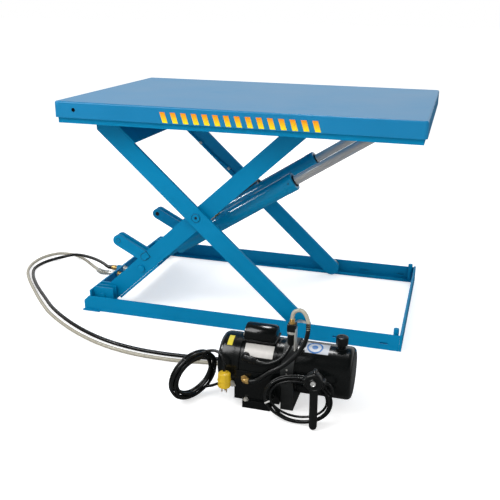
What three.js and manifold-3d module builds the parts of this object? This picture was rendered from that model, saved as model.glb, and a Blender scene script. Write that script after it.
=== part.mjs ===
// Electro-hydraulic scissor lift table with a floor-standing power unit, hoses, pendant and mains lead.
// Millimetres, +Z up. Built in table coordinates: X runs right from the platform's left edge, Y runs back
// from its front edge, Z up from the floor. The finished group is centred over its own footprint.
import * as THREE from 'three';
import { mergeVertices } from 'three/addons/utils/BufferGeometryUtils.js';
import Module from 'manifold-3d';

const wasm = await Module();
wasm.setup();

// ---------------------------------------------------------------- driving dimensions
const gap = 0.3; // clearance left between touching pieces

const deckLength = 1219.2;
const deckDepth = 812.8;
const deckHeight = 777.8;
const deckSkirt = 53.8;
const deckPlate = 4.8;
const deckEdge = 6;
const toeInset = 9;
const toeWall = 5;
const toeDrop = 19;

const baseLeft = 29.1;
const baseRight = 1194.7;
const baseFront = 63.4;
const railHeight = 56.5;
const railWall = 6;
const railFlange = 34.6;
const railChamfer = 18;
const endBar = 8;
const beamLeft = 50;
const beamTop = 78;
const earTop = 86;

const legPlate = 12.7;
const legWidth = 62.5;
const outerLegFront = 100;
const innerLegFront = 125;
const hinge = new THREE.Vector2(94, 52); // lower pin of the inner legs
const pivot = new THREE.Vector2(460.7, 385.8); // centre pins
const axle = new THREE.Vector2(847.6, 32.3); // lower rollers on the outer legs
const headReach = 0.98; // upper half-leg over lower half-leg
const hingePin = 12;
const centrePin = 14;
const deckPin = 10;
const rollerAxle = 10;
const baseRoller = axle.y - railWall - gap;
const deckRoller = 23.6;
const trackFace = 737.1;

const cylinderSetback = 215; // cylinder centre line behind the platform's front edge
const cylinderFoot = new THREE.Vector2(238, 166.3);
const cylinderLean = THREE.MathUtils.degToRad(32.8);
const cylinderLength = 1059; // foot pin to rod pin, fully extended
const barrelStart = 130;
const barrelEnd = 647.2;
const barrelRadius = 31;
const boreRadius = 26;
const rodRadius = 16;
const shaftRadius = 12.5;
const glandLength = 35;

const armRoot = new THREE.Vector2(250.2, 212.1);
const armTip = new THREE.Vector2(150, 264);
const armHalfWidth = 21;
const rearArmFront = 491;

const unitY = -336; // power unit axis
const unitZ = 112;
const tankRadius = 75;
const bellLeft = 702;
const shellLeft = 770;
const flangeLeft = 893;
const tankLeft = 930;
const tankRight = 1088;
const blockFront = -414;
const flangeRadius = 80;
const portZ = [60, 118]; // hydraulic port, drain port

const hydraulicHose = 13;
const drainHose = 12;
const mainsCord = 8.5;
const pendantCord = 7;
const motorCord = 11;
const jumperHose = 13;

// ---------------------------------------------------------------- finishes
const finishes = {
  paint: { color: 0x0a6ea8, roughness: 0.42, metalness: 0.0 },
  chrome: { color: 0xd8d8d8, roughness: 0.12, metalness: 1.0 },
  steel: { color: 0x9a9a96, roughness: 0.35, metalness: 1.0 },
  brass: { color: 0xc49a4a, roughness: 0.3, metalness: 1.0 },
  black: { color: 0x101315, roughness: 0.3, metalness: 0.0 },
  cast: { color: 0x5b605c, roughness: 0.55, metalness: 0.6 },
  plastic: { color: 0x15181a, roughness: 0.5, metalness: 0.0 },
  rubber: { color: 0x17191a, roughness: 0.6, metalness: 0.0 },
  clear: { color: 0xc9c6b8, roughness: 0.25, metalness: 0.0 },
  yellow: { color: 0xe8c21c, roughness: 0.4, metalness: 0.0 },
};

const table = new THREE.Group();

function add(name, finish, geometry) {
  const mesh = new THREE.Mesh(geometry, new THREE.MeshStandardMaterial(finishes[finish]));
  mesh.name = name;
  table.add(mesh);
}

// ---------------------------------------------------------------- solids
const axisX = new THREE.Vector3(1, 0, 0);
const axisY = new THREE.Vector3(0, 1, 0);
const axisZ = new THREE.Vector3(0, 0, 1);

function toSolid(geometry) {
  const bare = geometry.clone();
  bare.deleteAttribute('normal');
  bare.deleteAttribute('uv');
  const merged = mergeVertices(bare, 1e-4);
  const vertProperties = new Float32Array(merged.attributes.position.array);
  const triVerts = new Uint32Array(merged.index.array);
  const solid = new wasm.Manifold(new wasm.Mesh({ numProp: 3, vertProperties, triVerts }));
  if (solid.volume() > 0) return solid;
  const flipped = new Uint32Array(triVerts.length);
  for (let i = 0; i < triVerts.length; i += 3) {
    flipped[i] = triVerts[i];
    flipped[i + 1] = triVerts[i + 2];
    flipped[i + 2] = triVerts[i + 1];
  }
  return new wasm.Manifold(new wasm.Mesh({ numProp: 3, vertProperties, triVerts: flipped }));
}

function toGeometry(solid) {
  const mesh = solid.getMesh();
  const geometry = new THREE.BufferGeometry();
  geometry.setAttribute('position', new THREE.BufferAttribute(mesh.vertProperties, 3));
  geometry.setIndex(new THREE.BufferAttribute(mesh.triVerts, 1));
  geometry.computeVertexNormals();
  return geometry;
}

function join(...geometries) {
  return toGeometry(geometries.map(toSolid).reduce((whole, piece) => whole.add(piece)));
}

function cut(body, ...tools) {
  return toGeometry(tools.map(toSolid).reduce((whole, tool) => whole.subtract(tool), toSolid(body)));
}

function block(x, y, z) {
  const geometry = new THREE.BoxGeometry(x[1] - x[0], y[1] - y[0], z[1] - z[0]);
  return geometry.translate((x[0] + x[1]) / 2, (y[0] + y[1]) / 2, (z[0] + z[1]) / 2);
}

// An XZ outline given thickness along Y.
function slab(outline, y, curveSegments = 8) {
  const depth = y[1] - y[0];
  const geometry = new THREE.ExtrudeGeometry(outline, { depth, bevelEnabled: false, curveSegments });
  const basis = new THREE.Matrix4().makeBasis(axisX, axisZ, axisY.clone().negate());
  return geometry.applyMatrix4(basis).translate(0, y[1], 0);
}

// A YZ outline given length along X.
function section(outline, x) {
  const depth = x[1] - x[0];
  const geometry = new THREE.ExtrudeGeometry(outline, { depth, bevelEnabled: false, curveSegments: 8 });
  return geometry.applyMatrix4(new THREE.Matrix4().makeBasis(axisY, axisZ, axisX)).translate(x[0], 0, 0);
}

// A round bar between two points, drawn as [radius, distance] steps from the first to the second.
function turned(from, to, profile, facets = 16) {
  const points = profile.map(([radius, height]) => new THREE.Vector2(radius, height));
  const direction = to.clone().sub(from).normalize();
  const turn = new THREE.Quaternion().setFromUnitVectors(axisY, direction);
  return toGeometry(toSolid(new THREE.LatheGeometry(points, facets)
    .applyQuaternion(turn).translate(from.x, from.y, from.z)));
}

function bar(from, to, radius, facets = 16) {
  const length = from.distanceTo(to);
  return turned(from, to, [[0, 0], [radius, 0], [radius, length], [0, length]], facets);
}

function pinAlongY(centre, radius, y, facets = 16) {
  return bar(new THREE.Vector3(centre.x, y[0], centre.y), new THREE.Vector3(centre.x, y[1], centre.y),
    radius, facets);
}

function disc(centre, radius) {
  return new THREE.Shape().absarc(centre.x, centre.y, radius, 0, Math.PI * 2);
}

// A flat bar seen from the side, with round ends centred on its two points.
function link(from, to, halfWidth) {
  const angle = Math.atan2(to.y - from.y, to.x - from.x);
  return new THREE.Shape()
    .absarc(to.x, to.y, halfWidth, angle - Math.PI / 2, angle + Math.PI / 2, false)
    .absarc(from.x, from.y, halfWidth, angle + Math.PI / 2, angle + Math.PI * 1.5, false)
    .closePath();
}

function polygon(points) {
  return new THREE.Shape(points.map(([x, y]) => new THREE.Vector2(x, y)));
}

function cord(points, diameter, steps, facets = 8) {
  const path = new THREE.CatmullRomCurve3(points.map((point) => new THREE.Vector3(...point)));
  const ring = [];
  for (let i = 0; i < facets; i += 1) {
    const angle = ((i + 0.5) / facets) * Math.PI * 2;
    ring.push([Math.cos(angle) * diameter / 2, Math.sin(angle) * diameter / 2]);
  }
  return new THREE.ExtrudeGeometry(polygon(ring), { steps, extrudePath: path, bevelEnabled: false });
}

// ---------------------------------------------------------------- scissor geometry
const innerHead = pivot.clone().sub(hinge).multiplyScalar(headReach).add(pivot);
const outerHead = pivot.clone().sub(axle).multiplyScalar(headReach).add(pivot);
const innerFoot = new THREE.Vector2(100.6, 44.9); // the hinge pin sits above the leg's centre line

// Leg coordinates: s along the leg from its first point, t square to it and upwards.
function legFrame(from, to) {
  const along = to.clone().sub(from).normalize();
  const up = new THREE.Vector2(-along.y, along.x);
  if (up.y < 0) up.negate();
  return (s, t) => {
    const point = from.clone().addScaledVector(along, s).addScaledVector(up, t);
    return [point.x, point.y];
  };
}

const onInner = legFrame(innerFoot, innerHead);
const onOuter = legFrame(outerHead, axle);

// Front and rear copies: y distances are measured inwards from the platform's edge.
const sides = [
  { name: 'front', span: (a, b) => [a, b], at: (y) => y },
  { name: 'rear', span: (a, b) => [deckDepth - b, deckDepth - a], at: (y) => deckDepth - y },
];

// ---------------------------------------------------------------- base frame
function rail(side) {
  const right = baseRight - endBar - gap;
  const outline = polygon([[baseLeft, 0], [right, 0], [right, railHeight], [baseLeft + railChamfer, railHeight],
    [baseLeft, railHeight - railChamfer]]);
  const web = slab(outline, side.span(baseFront, baseFront + railWall));
  const flange = block([baseLeft, right], side.span(baseFront, baseFront + railFlange), [0, railWall]);
  const anchorTab = block([baseLeft - 4, 93], side.span(baseFront - 8, baseFront + 1), [0, 5]);
  const rollerGuide = block([655, 1150], side.span(94, baseFront + railFlange), [railWall - 1, 13]);
  const postFoot = new THREE.Vector3(1173, side.at(82), railWall - 1);
  const stopPost = bar(postFoot, postFoot.clone().setZ(74), 9);
  const slots = [[963, 999], [1122, 1149]].map((x) => block(x, side.span(baseFront - 1, baseFront + 8), [20, 26]));
  return cut(join(web, flange, anchorTab, rollerGuide, stopPost), ...slots);
}

const bulkheads = [{ y: 342, z: 66, radius: 9 }, { y: 288, z: 63, radius: 8 }]; // pressure, drain
const inlet = 18; // X of the hose ends

function hingeBeam() {
  const ends = [baseFront + railWall + gap, deckDepth - baseFront - railWall - gap];
  const web = block([beamLeft, beamLeft + 6], ends, [railWall + gap, beamTop]);
  const foot = block([beamLeft - 18, beamLeft], ends, [railWall + gap, 12]);
  const holes = bulkheads.map(({ y, z, radius }) => bar(new THREE.Vector3(40, y, z),
    new THREE.Vector3(70, y, z), radius + gap));
  const ears = [];
  for (const side of sides) {
    for (const [front, right] of [[88, 136], [113, 136], [142, 122]]) {
      const outline = polygon([[beamLeft + 5, 12], [right, 12], [right, earTop], [beamLeft + 12, earTop],
        [beamLeft + 5, beamTop]]);
      outline.holes.push(disc(hinge, hingePin + gap));
      ears.push(slab(outline, side.span(front, front + 8)));
    }
  }
  return cut(join(web, foot, ...ears), ...holes);
}

function bulkheadFittings() {
  const pieces = [block([beamLeft + 6 + gap, 61], [276, 356], [50, 77])];
  for (const { y, z, radius } of bulkheads) {
    const outer = new THREE.Vector3(inlet, y, z);
    pieces.push(bar(outer, new THREE.Vector3(88, y, z), radius));
    pieces.push(bar(new THREE.Vector3(34, y, z), new THREE.Vector3(beamLeft - gap, y, z), radius + 4, 6));
    pieces.push(bar(new THREE.Vector3(60, y, z), new THREE.Vector3(74, y, z), radius + 4, 6));
  }
  return join(...pieces);
}

for (const side of sides) {
  add(`rail_${side.name}`, 'paint', rail(side));
  add(`hinge_pin_${side.name}`, 'steel', pinAlongY(hinge, hingePin, side.span(84, 153)));
}
add('hinge_beam', 'paint', hingeBeam());
add('end_bar', 'paint', block([baseRight - endBar, baseRight], [baseFront, deckDepth - baseFront], [0, 61]));
add('bulkhead_fittings', 'brass', bulkheadFittings());

// ---------------------------------------------------------------- inner legs
const innerSpan = [innerLegFront, innerLegFront + legPlate];

function innerLeg(side) {
  const y = side.span(...innerSpan);
  const plate = link(innerFoot, innerHead, legWidth / 2);
  plate.holes.push(disc(hinge, hingePin + gap), disc(pivot, centrePin + gap), disc(cylinderFoot, shaftRadius + gap));
  const pieces = [slab(plate, y), pinAlongY(innerHead, rollerAxle, side.span(100, innerLegFront + 1))];
  if (side.name === 'front') pieces.push(slab(link(armRoot, armTip, armHalfWidth), y));
  return join(...pieces);
}

// The stop arms stand square to the legs on the lower plate; each has two cheeks and a round tip bar.
function armCheek(y) {
  const foot = onInner(...armFootOnLeg);
  const cheek = slab(link(armRoot, armTip, armHalfWidth), y);
  const stalk = slab(link(armRoot, new THREE.Vector2(...foot), armHalfWidth - 1), y);
  const floor = slab(polygon([onInner(100, -80), onInner(400, -80), onInner(400, plateTop), onInner(100, plateTop)]),
    [y[0] - 1, y[1] + 1]);
  return cut(join(cheek, stalk), floor);
}

const plateTop = -legWidth / 2 - gap; // t of the lower plate's upper face, less its clearance
const plateThick = 8;
const armFootOnLeg = [215, -26];

function stopArm(cheeks, spacer) {
  const tip = pinAlongY(armTip, 14, spacer);
  const root = slab(link(armRoot, new THREE.Vector2(...onInner(...armFootOnLeg)), 12), spacer);
  const floor = slab(polygon([onInner(100, -80), onInner(400, -80), onInner(400, plateTop + gap),
    onInner(100, plateTop + gap)]), [spacer[0] - 1, spacer[1] + 1]);
  return cut(join(...cheeks.map(armCheek), tip, root), floor);
}

function lowerPlate() {
  const top = plateTop - gap;
  const outline = polygon([onInner(30, top), onInner(30, top - plateThick), onInner(242, top - plateThick),
    onInner(242, top)]);
  const plate = slab(outline, [innerLegFront, deckDepth - innerLegFront]);
  const notch = polygon([onInner(204, top + 5), onInner(204, top - 20), onInner(250, top - 20), onInner(250, top + 5)]);
  const notches = sides.map((side) => slab(notch, side.span(cylinderSetback - 26, cylinderSetback + 26)));
  return cut(plate, ...notches);
}

for (const side of sides) {
  add(`inner_leg_${side.name}`, 'paint', innerLeg(side));
}
add('lower_plate', 'paint', lowerPlate());
add('cylinder_shaft', 'steel', pinAlongY(cylinderFoot, shaftRadius, [118, deckDepth - 118]));
const frontCheek = innerLegFront + legPlate + gap;
add('stop_arm_front', 'paint', stopArm([[frontCheek + 17, frontCheek + 27]], [frontCheek, frontCheek + 18]));
add('stop_arm_rear', 'paint', stopArm([[rearArmFront, rearArmFront + 10], [rearArmFront + 30, rearArmFront + 40]],
  [rearArmFront + 9, rearArmFront + 31]));

// ---------------------------------------------------------------- outer legs
function outerLeg(side) {
  const plate = link(outerHead, axle, legWidth / 2);
  plate.holes.push(disc(outerHead, deckPin + gap), disc(pivot, centrePin + gap));
  const y = side.span(outerLegFront, outerLegFront + legPlate);
  const cropped = cut(slab(plate, y), block([0, 101], [y[0] - 1, y[1] + 1], [600, 699]));
  return join(cropped, pinAlongY(axle, rollerAxle, side.span(72, outerLegFront + 1)));
}

// A shouldered pin: the shoulder keeps the two legs apart, and the outer end has a hexagon socket.
function centrePinPiece(side) {
  const shank = pinAlongY(pivot, centrePin, side.span(99.4, 139));
  const shoulder = pinAlongY(pivot, 24, side.span(outerLegFront + legPlate + gap, innerLegFront - gap));
  const socket = pinAlongY(pivot, 7, side.span(90, 108), 6);
  return cut(join(shank, shoulder), socket);
}

function roller(centre, radius, y) {
  return cut(pinAlongY(centre, radius, y, 24), pinAlongY(centre, rollerAxle + gap, [y[0] - 1, y[1] + 1]));
}

for (const side of sides) {
  add(`outer_leg_${side.name}`, 'paint', outerLeg(side));
  add(`centre_pin_${side.name}`, 'steel', centrePinPiece(side));
  add(`base_roller_${side.name}`, 'steel', roller(axle, baseRoller, side.span(71, 93.5)));
  add(`deck_roller_${side.name}`, 'steel', roller(innerHead, deckRoller, side.span(101, 124)));
}
const brace = legWidth / 2 + gap;
add('upper_plate', 'paint', slab(polygon([onOuter(48, brace), onOuter(184, brace), onOuter(184, brace + 6),
  onOuter(48, brace + 6)]), [outerLegFront, deckDepth - outerLegFront]));

// ---------------------------------------------------------------- platform
const deckUnder = deckHeight - deckPlate;
const skirtBottom = deckHeight - deckSkirt;

function roundedRectangle(inset, radius) {
  const [left, right, front, back] = [inset, deckLength - inset, inset, deckDepth - inset];
  return new THREE.Shape()
    .absarc(right - radius, back - radius, radius, 0, Math.PI / 2, false)
    .absarc(left + radius, back - radius, radius, Math.PI / 2, Math.PI, false)
    .absarc(left + radius, front + radius, radius, Math.PI, Math.PI * 1.5, false)
    .absarc(right - radius, front + radius, radius, Math.PI * 1.5, Math.PI * 2, false)
    .closePath();
}

function deckPan() {
  const outer = new THREE.ExtrudeGeometry(roundedRectangle(deckEdge, deckEdge), {
    depth: deckSkirt + 20,
    bevelSize: deckEdge,
    bevelThickness: deckEdge,
    bevelSegments: 3,
    curveSegments: 4,
  }).translate(0, 0, skirtBottom - 20 - deckEdge);
  const hollow = block([deckPlate, deckLength - deckPlate], [deckPlate, deckDepth - deckPlate],
    [skirtBottom - 60, deckUnder]);
  const trim = block([-10, deckLength + 10], [-10, deckDepth + 10], [skirtBottom - 60, skirtBottom]);
  const liftingHole = bar(new THREE.Vector3(71, -5, 751), new THREE.Vector3(71, 10, 751), 7);
  return cut(outer, hollow, trim, liftingHole);
}

function toeFrame() {
  const [near, far] = [toeInset, deckDepth - toeInset];
  const [left, right] = [toeInset, deckLength - toeInset];
  const outer = block([left, right], [near, far], [skirtBottom - toeDrop, deckUnder - gap]);
  const inner = block([left + toeWall, right - toeWall], [near + toeWall, far - toeWall],
    [skirtBottom - toeDrop - 10, deckUnder + 10]);
  return cut(outer, inner);
}

function deckHinge(side) {
  const top = deckUnder - gap;
  const cheek = polygon([[outerHead.x - 24, top], [outerHead.x - 24, outerHead.y], [outerHead.x - 17, outerHead.y - 17],
    [outerHead.x, outerHead.y - 24], [outerHead.x + 17, outerHead.y - 17], [outerHead.x + 24, outerHead.y],
    [outerHead.x + 24, top]]);
  const bridge = block([outerHead.x - 24, outerHead.x + 24], side.span(90, 122.7), [top - 6, top]);
  return join(slab(cheek, side.span(90, outerLegFront - gap)), slab(cheek, side.span(113, 122.7)), bridge,
    pinAlongY(outerHead, deckPin, side.span(86, 124.4)));
}

const cylinderAxis = new THREE.Vector2(Math.cos(cylinderLean), Math.sin(cylinderLean));
const rodPin = cylinderFoot.clone().addScaledVector(cylinderAxis, cylinderLength);

// Two cheeks hang from the platform; their bosses stand for the ends of the rod pin.
function rodAnchor(side) {
  const top = deckUnder - gap;
  const cheek = polygon([[rodPin.x - 28, top], [rodPin.x - 28, rodPin.y], [rodPin.x - 18, rodPin.y - 20],
    [rodPin.x, rodPin.y - 28], [rodPin.x + 18, rodPin.y - 20], [rodPin.x + 28, rodPin.y], [rodPin.x + 28, top]]);
  const pieces = [block([rodPin.x - 28, rodPin.x + 28], side.span(cylinderSetback - 26, cylinderSetback + 26),
    [top - 5, top])];
  for (const [near, far, bossNear, bossFar] of [[-25, -17, -30, -24], [17, 25, 24, 30]]) {
    pieces.push(slab(cheek, side.span(cylinderSetback + near, cylinderSetback + far)));
    pieces.push(pinAlongY(rodPin, 15, side.span(cylinderSetback + bossNear, cylinderSetback + bossFar)));
  }
  return join(...pieces);
}

add('deck_pan', 'paint', deckPan());
add('toe_frame', 'paint', toeFrame());
for (const side of sides) {
  add(`deck_track_${side.name}`, 'paint', block([770, 1140], side.span(96, 124.5), [trackFace, deckUnder - gap]));
  add(`deck_hinge_${side.name}`, 'paint', deckHinge(side));
  add(`rod_anchor_${side.name}`, 'paint', rodAnchor(side));
}

// ---------------------------------------------------------------- hydraulic cylinders
function alongCylinder(side, distance) {
  const point = cylinderFoot.clone().addScaledVector(cylinderAxis, distance);
  return new THREE.Vector3(point.x, side.at(cylinderSetback), point.y);
}

function barrel(side) {
  const tubeEnd = barrelEnd - glandLength - gap;
  const body = turned(alongCylinder(side, 0), alongCylinder(side, barrelEnd), [[0, 0], [20, 0], [20, barrelStart],
    [barrelRadius, barrelStart], [barrelRadius, tubeEnd], [boreRadius, tubeEnd], [boreRadius, 150], [0, 150]], 24);
  const eye = side.span(cylinderSetback - 18, cylinderSetback + 18);
  const port = bar(new THREE.Vector3(497, side.at(cylinderSetback - 10), 345),
    new THREE.Vector3(484, side.at(cylinderSetback - 10), 366), 8, 12);
  return cut(join(body, pinAlongY(cylinderFoot, 24, eye), port),
    pinAlongY(cylinderFoot, shaftRadius + gap, [eye[0] - 5, eye[1] + 5]),
    turned(alongCylinder(side, 0), alongCylinder(side, barrelEnd), [[0, 150], [boreRadius, 150],
      [boreRadius, barrelEnd], [0, barrelEnd]], 24));
}

function gland(side) {
  const start = barrelEnd - glandLength;
  return turned(alongCylinder(side, 0), alongCylinder(side, barrelEnd), [[rodRadius + gap, start],
    [32.5, start], [32.5, barrelEnd - 2], [30.5, barrelEnd], [rodRadius + gap, barrelEnd],
    [rodRadius + gap, start]], 24);
}

function rod(side) {
  const stem = turned(alongCylinder(side, 0), alongCylinder(side, cylinderLength), [[0, 560],
    [boreRadius - gap, 560], [boreRadius - gap, 595], [rodRadius, 595], [rodRadius, cylinderLength - 8],
    [0, cylinderLength - 8]]);
  return join(stem, pinAlongY(rodPin, 26, side.span(cylinderSetback - 16, cylinderSetback + 16)));
}

for (const side of sides) {
  add(`barrel_${side.name}`, 'paint', barrel(side));
  add(`gland_${side.name}`, 'paint', gland(side));
  add(`rod_${side.name}`, 'chrome', rod(side));
}
add('link_hose', 'rubber', cord([[483, 205, 368.5], [474, 206, 384], [472, 230, 402], [482, 300, 425], [500, 400, 440],
  [510, 500, 436], [506, 560, 420], [495, 590, 396], [485, 605, 372]], 11, 22));

// ---------------------------------------------------------------- power unit
function alongUnit(x) {
  return new THREE.Vector3(x, unitY, unitZ);
}

function unitTurned(from, to, profile, facets = 32) {
  return turned(alongUnit(from), alongUnit(to), profile, facets);
}

function motorShell() {
  const length = flangeLeft - gap - shellLeft;
  const shell = unitTurned(shellLeft, flangeLeft, [[68, 0], [tankRadius, 0], [tankRadius, length], [68, length],
    [68, length - 12], [44, length - 12], [44, 14], [68, 14], [68, 0]]);
  const boss = bar(new THREE.Vector3(789, -396, 150), new THREE.Vector3(789, -411, 153), 11, 12);
  const cordGrip = bar(new THREE.Vector3(789, -409, 152), new THREE.Vector3(818, -411, 147), 7.5, 12);
  return join(shell, boss, cordGrip);
}

function endBell() {
  const length = shellLeft - gap - bellLeft;
  return unitTurned(shellLeft - gap, bellLeft, [[70, 0], [tankRadius, 0], [tankRadius, length - 22],
    [72, length - 11], [64, length - 3], [54, length], [0, length], [0, length - 4], [52, length - 4],
    [66, length - 14], [70, length - 24], [70, 0]]);
}

function rotor() {
  return unitTurned(712, 962, [[0, 0], [8, 0], [8, 76], [42, 76], [42, 160], [8, 160], [8, 250], [0, 250]], 24);
}

function capacitorBox() {
  const box = block([772, 866], [-372, -300], [160, 228]);
  return cut(box, unitTurned(760, 880, [[0, 0], [tankRadius + gap, 0], [tankRadius + gap, 120], [0, 120]]));
}

function pumpFlange() {
  const outline = new THREE.Shape().absarc(unitY, unitZ, flangeRadius, -0.2 * Math.PI, 1.2 * Math.PI, false)
    .lineTo(-400, 0).lineTo(-272, 0).closePath();
  const ports = portZ.map((z) => bar(new THREE.Vector3(911, -285, z), new THREE.Vector3(911, -238, z), 9, 12));
  const body = join(section(outline, [flangeLeft, tankLeft - gap]), ...ports);
  return cut(body, bar(alongUnit(880), alongUnit(940), 8.3));
}

function gearPump() {
  return unitTurned(tankLeft, 985, [[8.3, 0], [32, 0], [32, 55], [0, 55], [0, 40], [8.3, 40], [8.3, 0]], 20);
}

const fillerX = 1050;

function tank() {
  const length = tankRight - tankLeft;
  const shell = unitTurned(tankLeft, tankRight, [[72, 0], [tankRadius, 0], [tankRadius, length - 10],
    [72, length - 3], [65, length], [0, length], [0, length - 3], [64, length - 3], [70, length - 6],
    [72, length - 12], [72, 0]]);
  const neck = bar(new THREE.Vector3(fillerX, unitY, 183.5), new THREE.Vector3(fillerX, unitY, 197), 12);
  return join(shell, neck);
}

function fillerCap() {
  const foot = new THREE.Vector3(fillerX, unitY, 197 + gap);
  return turned(foot, foot.clone().setZ(230), [[0, 0], [14, 0], [14, 4], [17.5, 6], [17.5, 22], [15, 25.5],
    [0, 25.5]]);
}

function baseBlock() {
  const body = block([760, flangeLeft - gap], [blockFront, -258], [22, unitZ]);
  const foot = block([786, 868], [-422, -250], [0, 24]);
  const mainsGland = bar(new THREE.Vector3(744, -406, 62), new THREE.Vector3(765, -406, 62), 7.5, 12);
  const pendantGland = bar(new THREE.Vector3(870, -418, 46), new THREE.Vector3(870, -400, 46), 7, 12);
  const saddle = unitTurned(740, 900, [[0, 0], [tankRadius + gap, 0], [tankRadius + gap, 160], [0, 160]]);
  return cut(join(body, foot, mainsGland, pendantGland), saddle);
}

function elbow() {
  const corner = new THREE.Vector3(790, -427, 90);
  const tail = bar(new THREE.Vector3(790, blockFront - gap, 90), corner, 9, 6);
  const knuckle = new THREE.SphereGeometry(9.5, 12, 8).translate(corner.x, corner.y, corner.z);
  return join(tail, knuckle, bar(corner, new THREE.Vector3(804, -427, 90), 7.5, 12));
}

// The release valve's coil stands on a strip bracket beside the pump flange, with a hose nipple on top.
function valveCoil() {
  const coilFoot = new THREE.Vector3(916, -382, 214);
  const coil = turned(coilFoot, coilFoot.clone().setZ(280), [[0, 0], [13.5, 0], [13.5, 46], [9, 48], [9, 54],
    [6, 54], [6, 64], [0, 64]]);
  const strip = block([925, 929], [-392, -372], [186, 250]);
  return join(coil, strip);
}

add('motor_shell', 'black', motorShell());
add('motor_end_bell', 'black', endBell());
add('motor_rotor', 'steel', rotor());
add('capacitor_box', 'black', capacitorBox());
add('pump_flange', 'cast', pumpFlange());
add('gear_pump', 'cast', gearPump());
add('tank', 'black', tank());
add('filler_cap', 'plastic', fillerCap());
add('base_block', 'black', baseBlock());
add('elbow', 'brass', elbow());
add('valve_coil', 'plastic', valveCoil());

// ---------------------------------------------------------------- pendant
const pendant = new THREE.Vector2(1001, 149); // button centre
const pendantY = [-493, -463];

function pendantShell() {
  const head = pinAlongY(pendant, 27, pendantY, 6);
  const centre = (pendantY[0] + pendantY[1]) / 2;
  const tip = new THREE.Vector3(1003, centre, 1);
  const stem = turned(tip, new THREE.Vector3(1001, centre, 130), [[0, 0], [3, 0], [11, 12], [11, 128], [0, 128]], 16);
  const well = pinAlongY(pendant, 7.5 + gap, [pendantY[0] - 5, pendantY[0] + 12]);
  return cut(join(head, stem), well);
}

add('pendant', 'plastic', pendantShell());
add('pendant_button', 'chrome', pinAlongY(pendant, 7.5, [pendantY[0] - 4, pendantY[0] + 6], 20));

// ---------------------------------------------------------------- hoses and cords
// Each route is a short list of points laid by eye, from where the cord leaves the machine to its far end.
const hydraulicRoute = [[inlet - gap, 342, 66], [-8, 343, 66], [-50, 384, 61], [-96, 426, 54], [-142, 461, 48],
  [-190, 492, 41], [-235, 518, 33], [-276, 534, 24], [-325, 521, 12], [-360, 486, 7], [-374, 440, 7],
  [-373, 377, 7], [-340, 308, 7], [-274, 222, 7], [-175, 117, 7], [-74, 18, 7], [76, -89, 7], [220, -158, 7],
  [339, -187, 7], [441, -194, 7], [522, -190, 7], [604, -180, 7], [690, -172, 7], [760, -168, 8], [830, -168, 16],
  [878, -178, 34], [903, -196, 52], [911, -214, 60], [911, -227, 60], [911, -238 + gap, 60]];
const drainRoute = [[inlet - gap, 288, 63], [-10, 289, 63], [-52, 326, 59], [-94, 371, 51], [-148, 442, 32],
  [-215, 521, 14], [-300, 580, 6.5], [-372, 574, 6.5], [-410, 512, 6.5], [-414, 435, 6.5], [-390, 353, 6.5],
  [-345, 281, 6.5], [-250, 168, 6.5], [-146, 55, 6.5], [-61, -25, 6.5], [96, -132, 6.5], [237, -196, 6.5],
  [354, -222, 6.5], [454, -227, 6.5], [524, -223, 6.5], [611, -208, 6.5], [700, -202, 6.5], [780, -202, 9],
  [842, -198, 26], [880, -193, 60], [901, -194, 95], [911, -206, 116], [911, -224, 118], [911, -238 + gap, 118]];
const motorLeadRoute = [[818.4, -411, 147], [832, -412, 145], [854, -413, 145], [876, -411, 153], [894, -405, 165],
  [907, -396, 182], [914, -386, 197], [916, -382, 207], [916, -382, 214 - gap]];
const jumperRoute = [[916, -382, 278 + gap], [916, -382, 285], [919, -382.5, 296], [929, -384, 305], [944, -389, 308], [957, -396, 298],
  [965, -403, 278], [966, -411, 256], [962, -418, 234], [953, -424, 212], [938, -428, 190], [918, -430, 168],
  [896, -431, 149], [872, -431, 133], [848, -430, 113], [827, -428, 95], [813, -427, 90.2], [804 + gap, -427, 90]];
const mainsLeadRoute = [[744 - gap, -406, 62], [735, -406, 62], [718, -404, 57], [698, -399, 50], [678, -393, 41]];
const mainsTailRoute = [[672, -442, 171], [688, -443, 175], [704, -443, 172], [718, -442, 160], [729, -441, 144],
  [736, -440, 131], [738, -440, 124], [738, -440, 118 + gap]];
const pendantLeadRoute = [[870, -418 - gap, 46], [870, -426, 46], [869, -434, 47.5]];

add('hydraulic_hose', 'rubber', cord(hydraulicRoute, hydraulicHose, 64));
add('drain_hose', 'clear', cord(drainRoute, drainHose, 66));
add('motor_lead', 'rubber', cord(motorLeadRoute, motorCord, 14));
add('return_jumper', 'rubber', cord(jumperRoute, jumperHose, 26));
add('mains_lead', 'rubber', cord(mainsLeadRoute, mainsCord, 6));
add('mains_tail', 'rubber', cord(mainsTailRoute, mainsCord, 8));
add('pendant_lead', 'rubber', cord(pendantLeadRoute, pendantCord, 3));

// A coil is one ring of the bundle's outer shape, stood on its edge and leant back.
function coil({ radius, stretch, bundle, centre, facing, lean }) {
  const half = bundle / 2;
  const profile = [];
  for (let i = 0; i <= 8; i += 1) {
    const angle = (i / 8) * Math.PI * 2;
    profile.push(new THREE.Vector2(radius + half * Math.cos(angle), half * Math.sin(angle)));
  }
  const ring = new THREE.LatheGeometry(profile, 24);
  ring.scale(stretch, 1, 1);
  ring.rotateX(-lean);
  ring.rotateZ(facing);
  ring.translate(...centre);
  return toGeometry(toSolid(ring));
}

const mainsCoil = {
  radius: 70,
  stretch: 1,
  bundle: 26,
  centre: [642, -428, 83],
  facing: THREE.MathUtils.degToRad(56.6),
  lean: THREE.MathUtils.degToRad(-12),
};
const pendantCoil = {
  radius: 60,
  stretch: 1.48,
  bundle: 18,
  centre: [951, -443, 67.5],
  facing: 0,
  lean: THREE.MathUtils.degToRad(15),
};
add('mains_coil', 'rubber', coil(mainsCoil));
add('pendant_coil', 'rubber', coil(pendantCoil));

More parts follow.
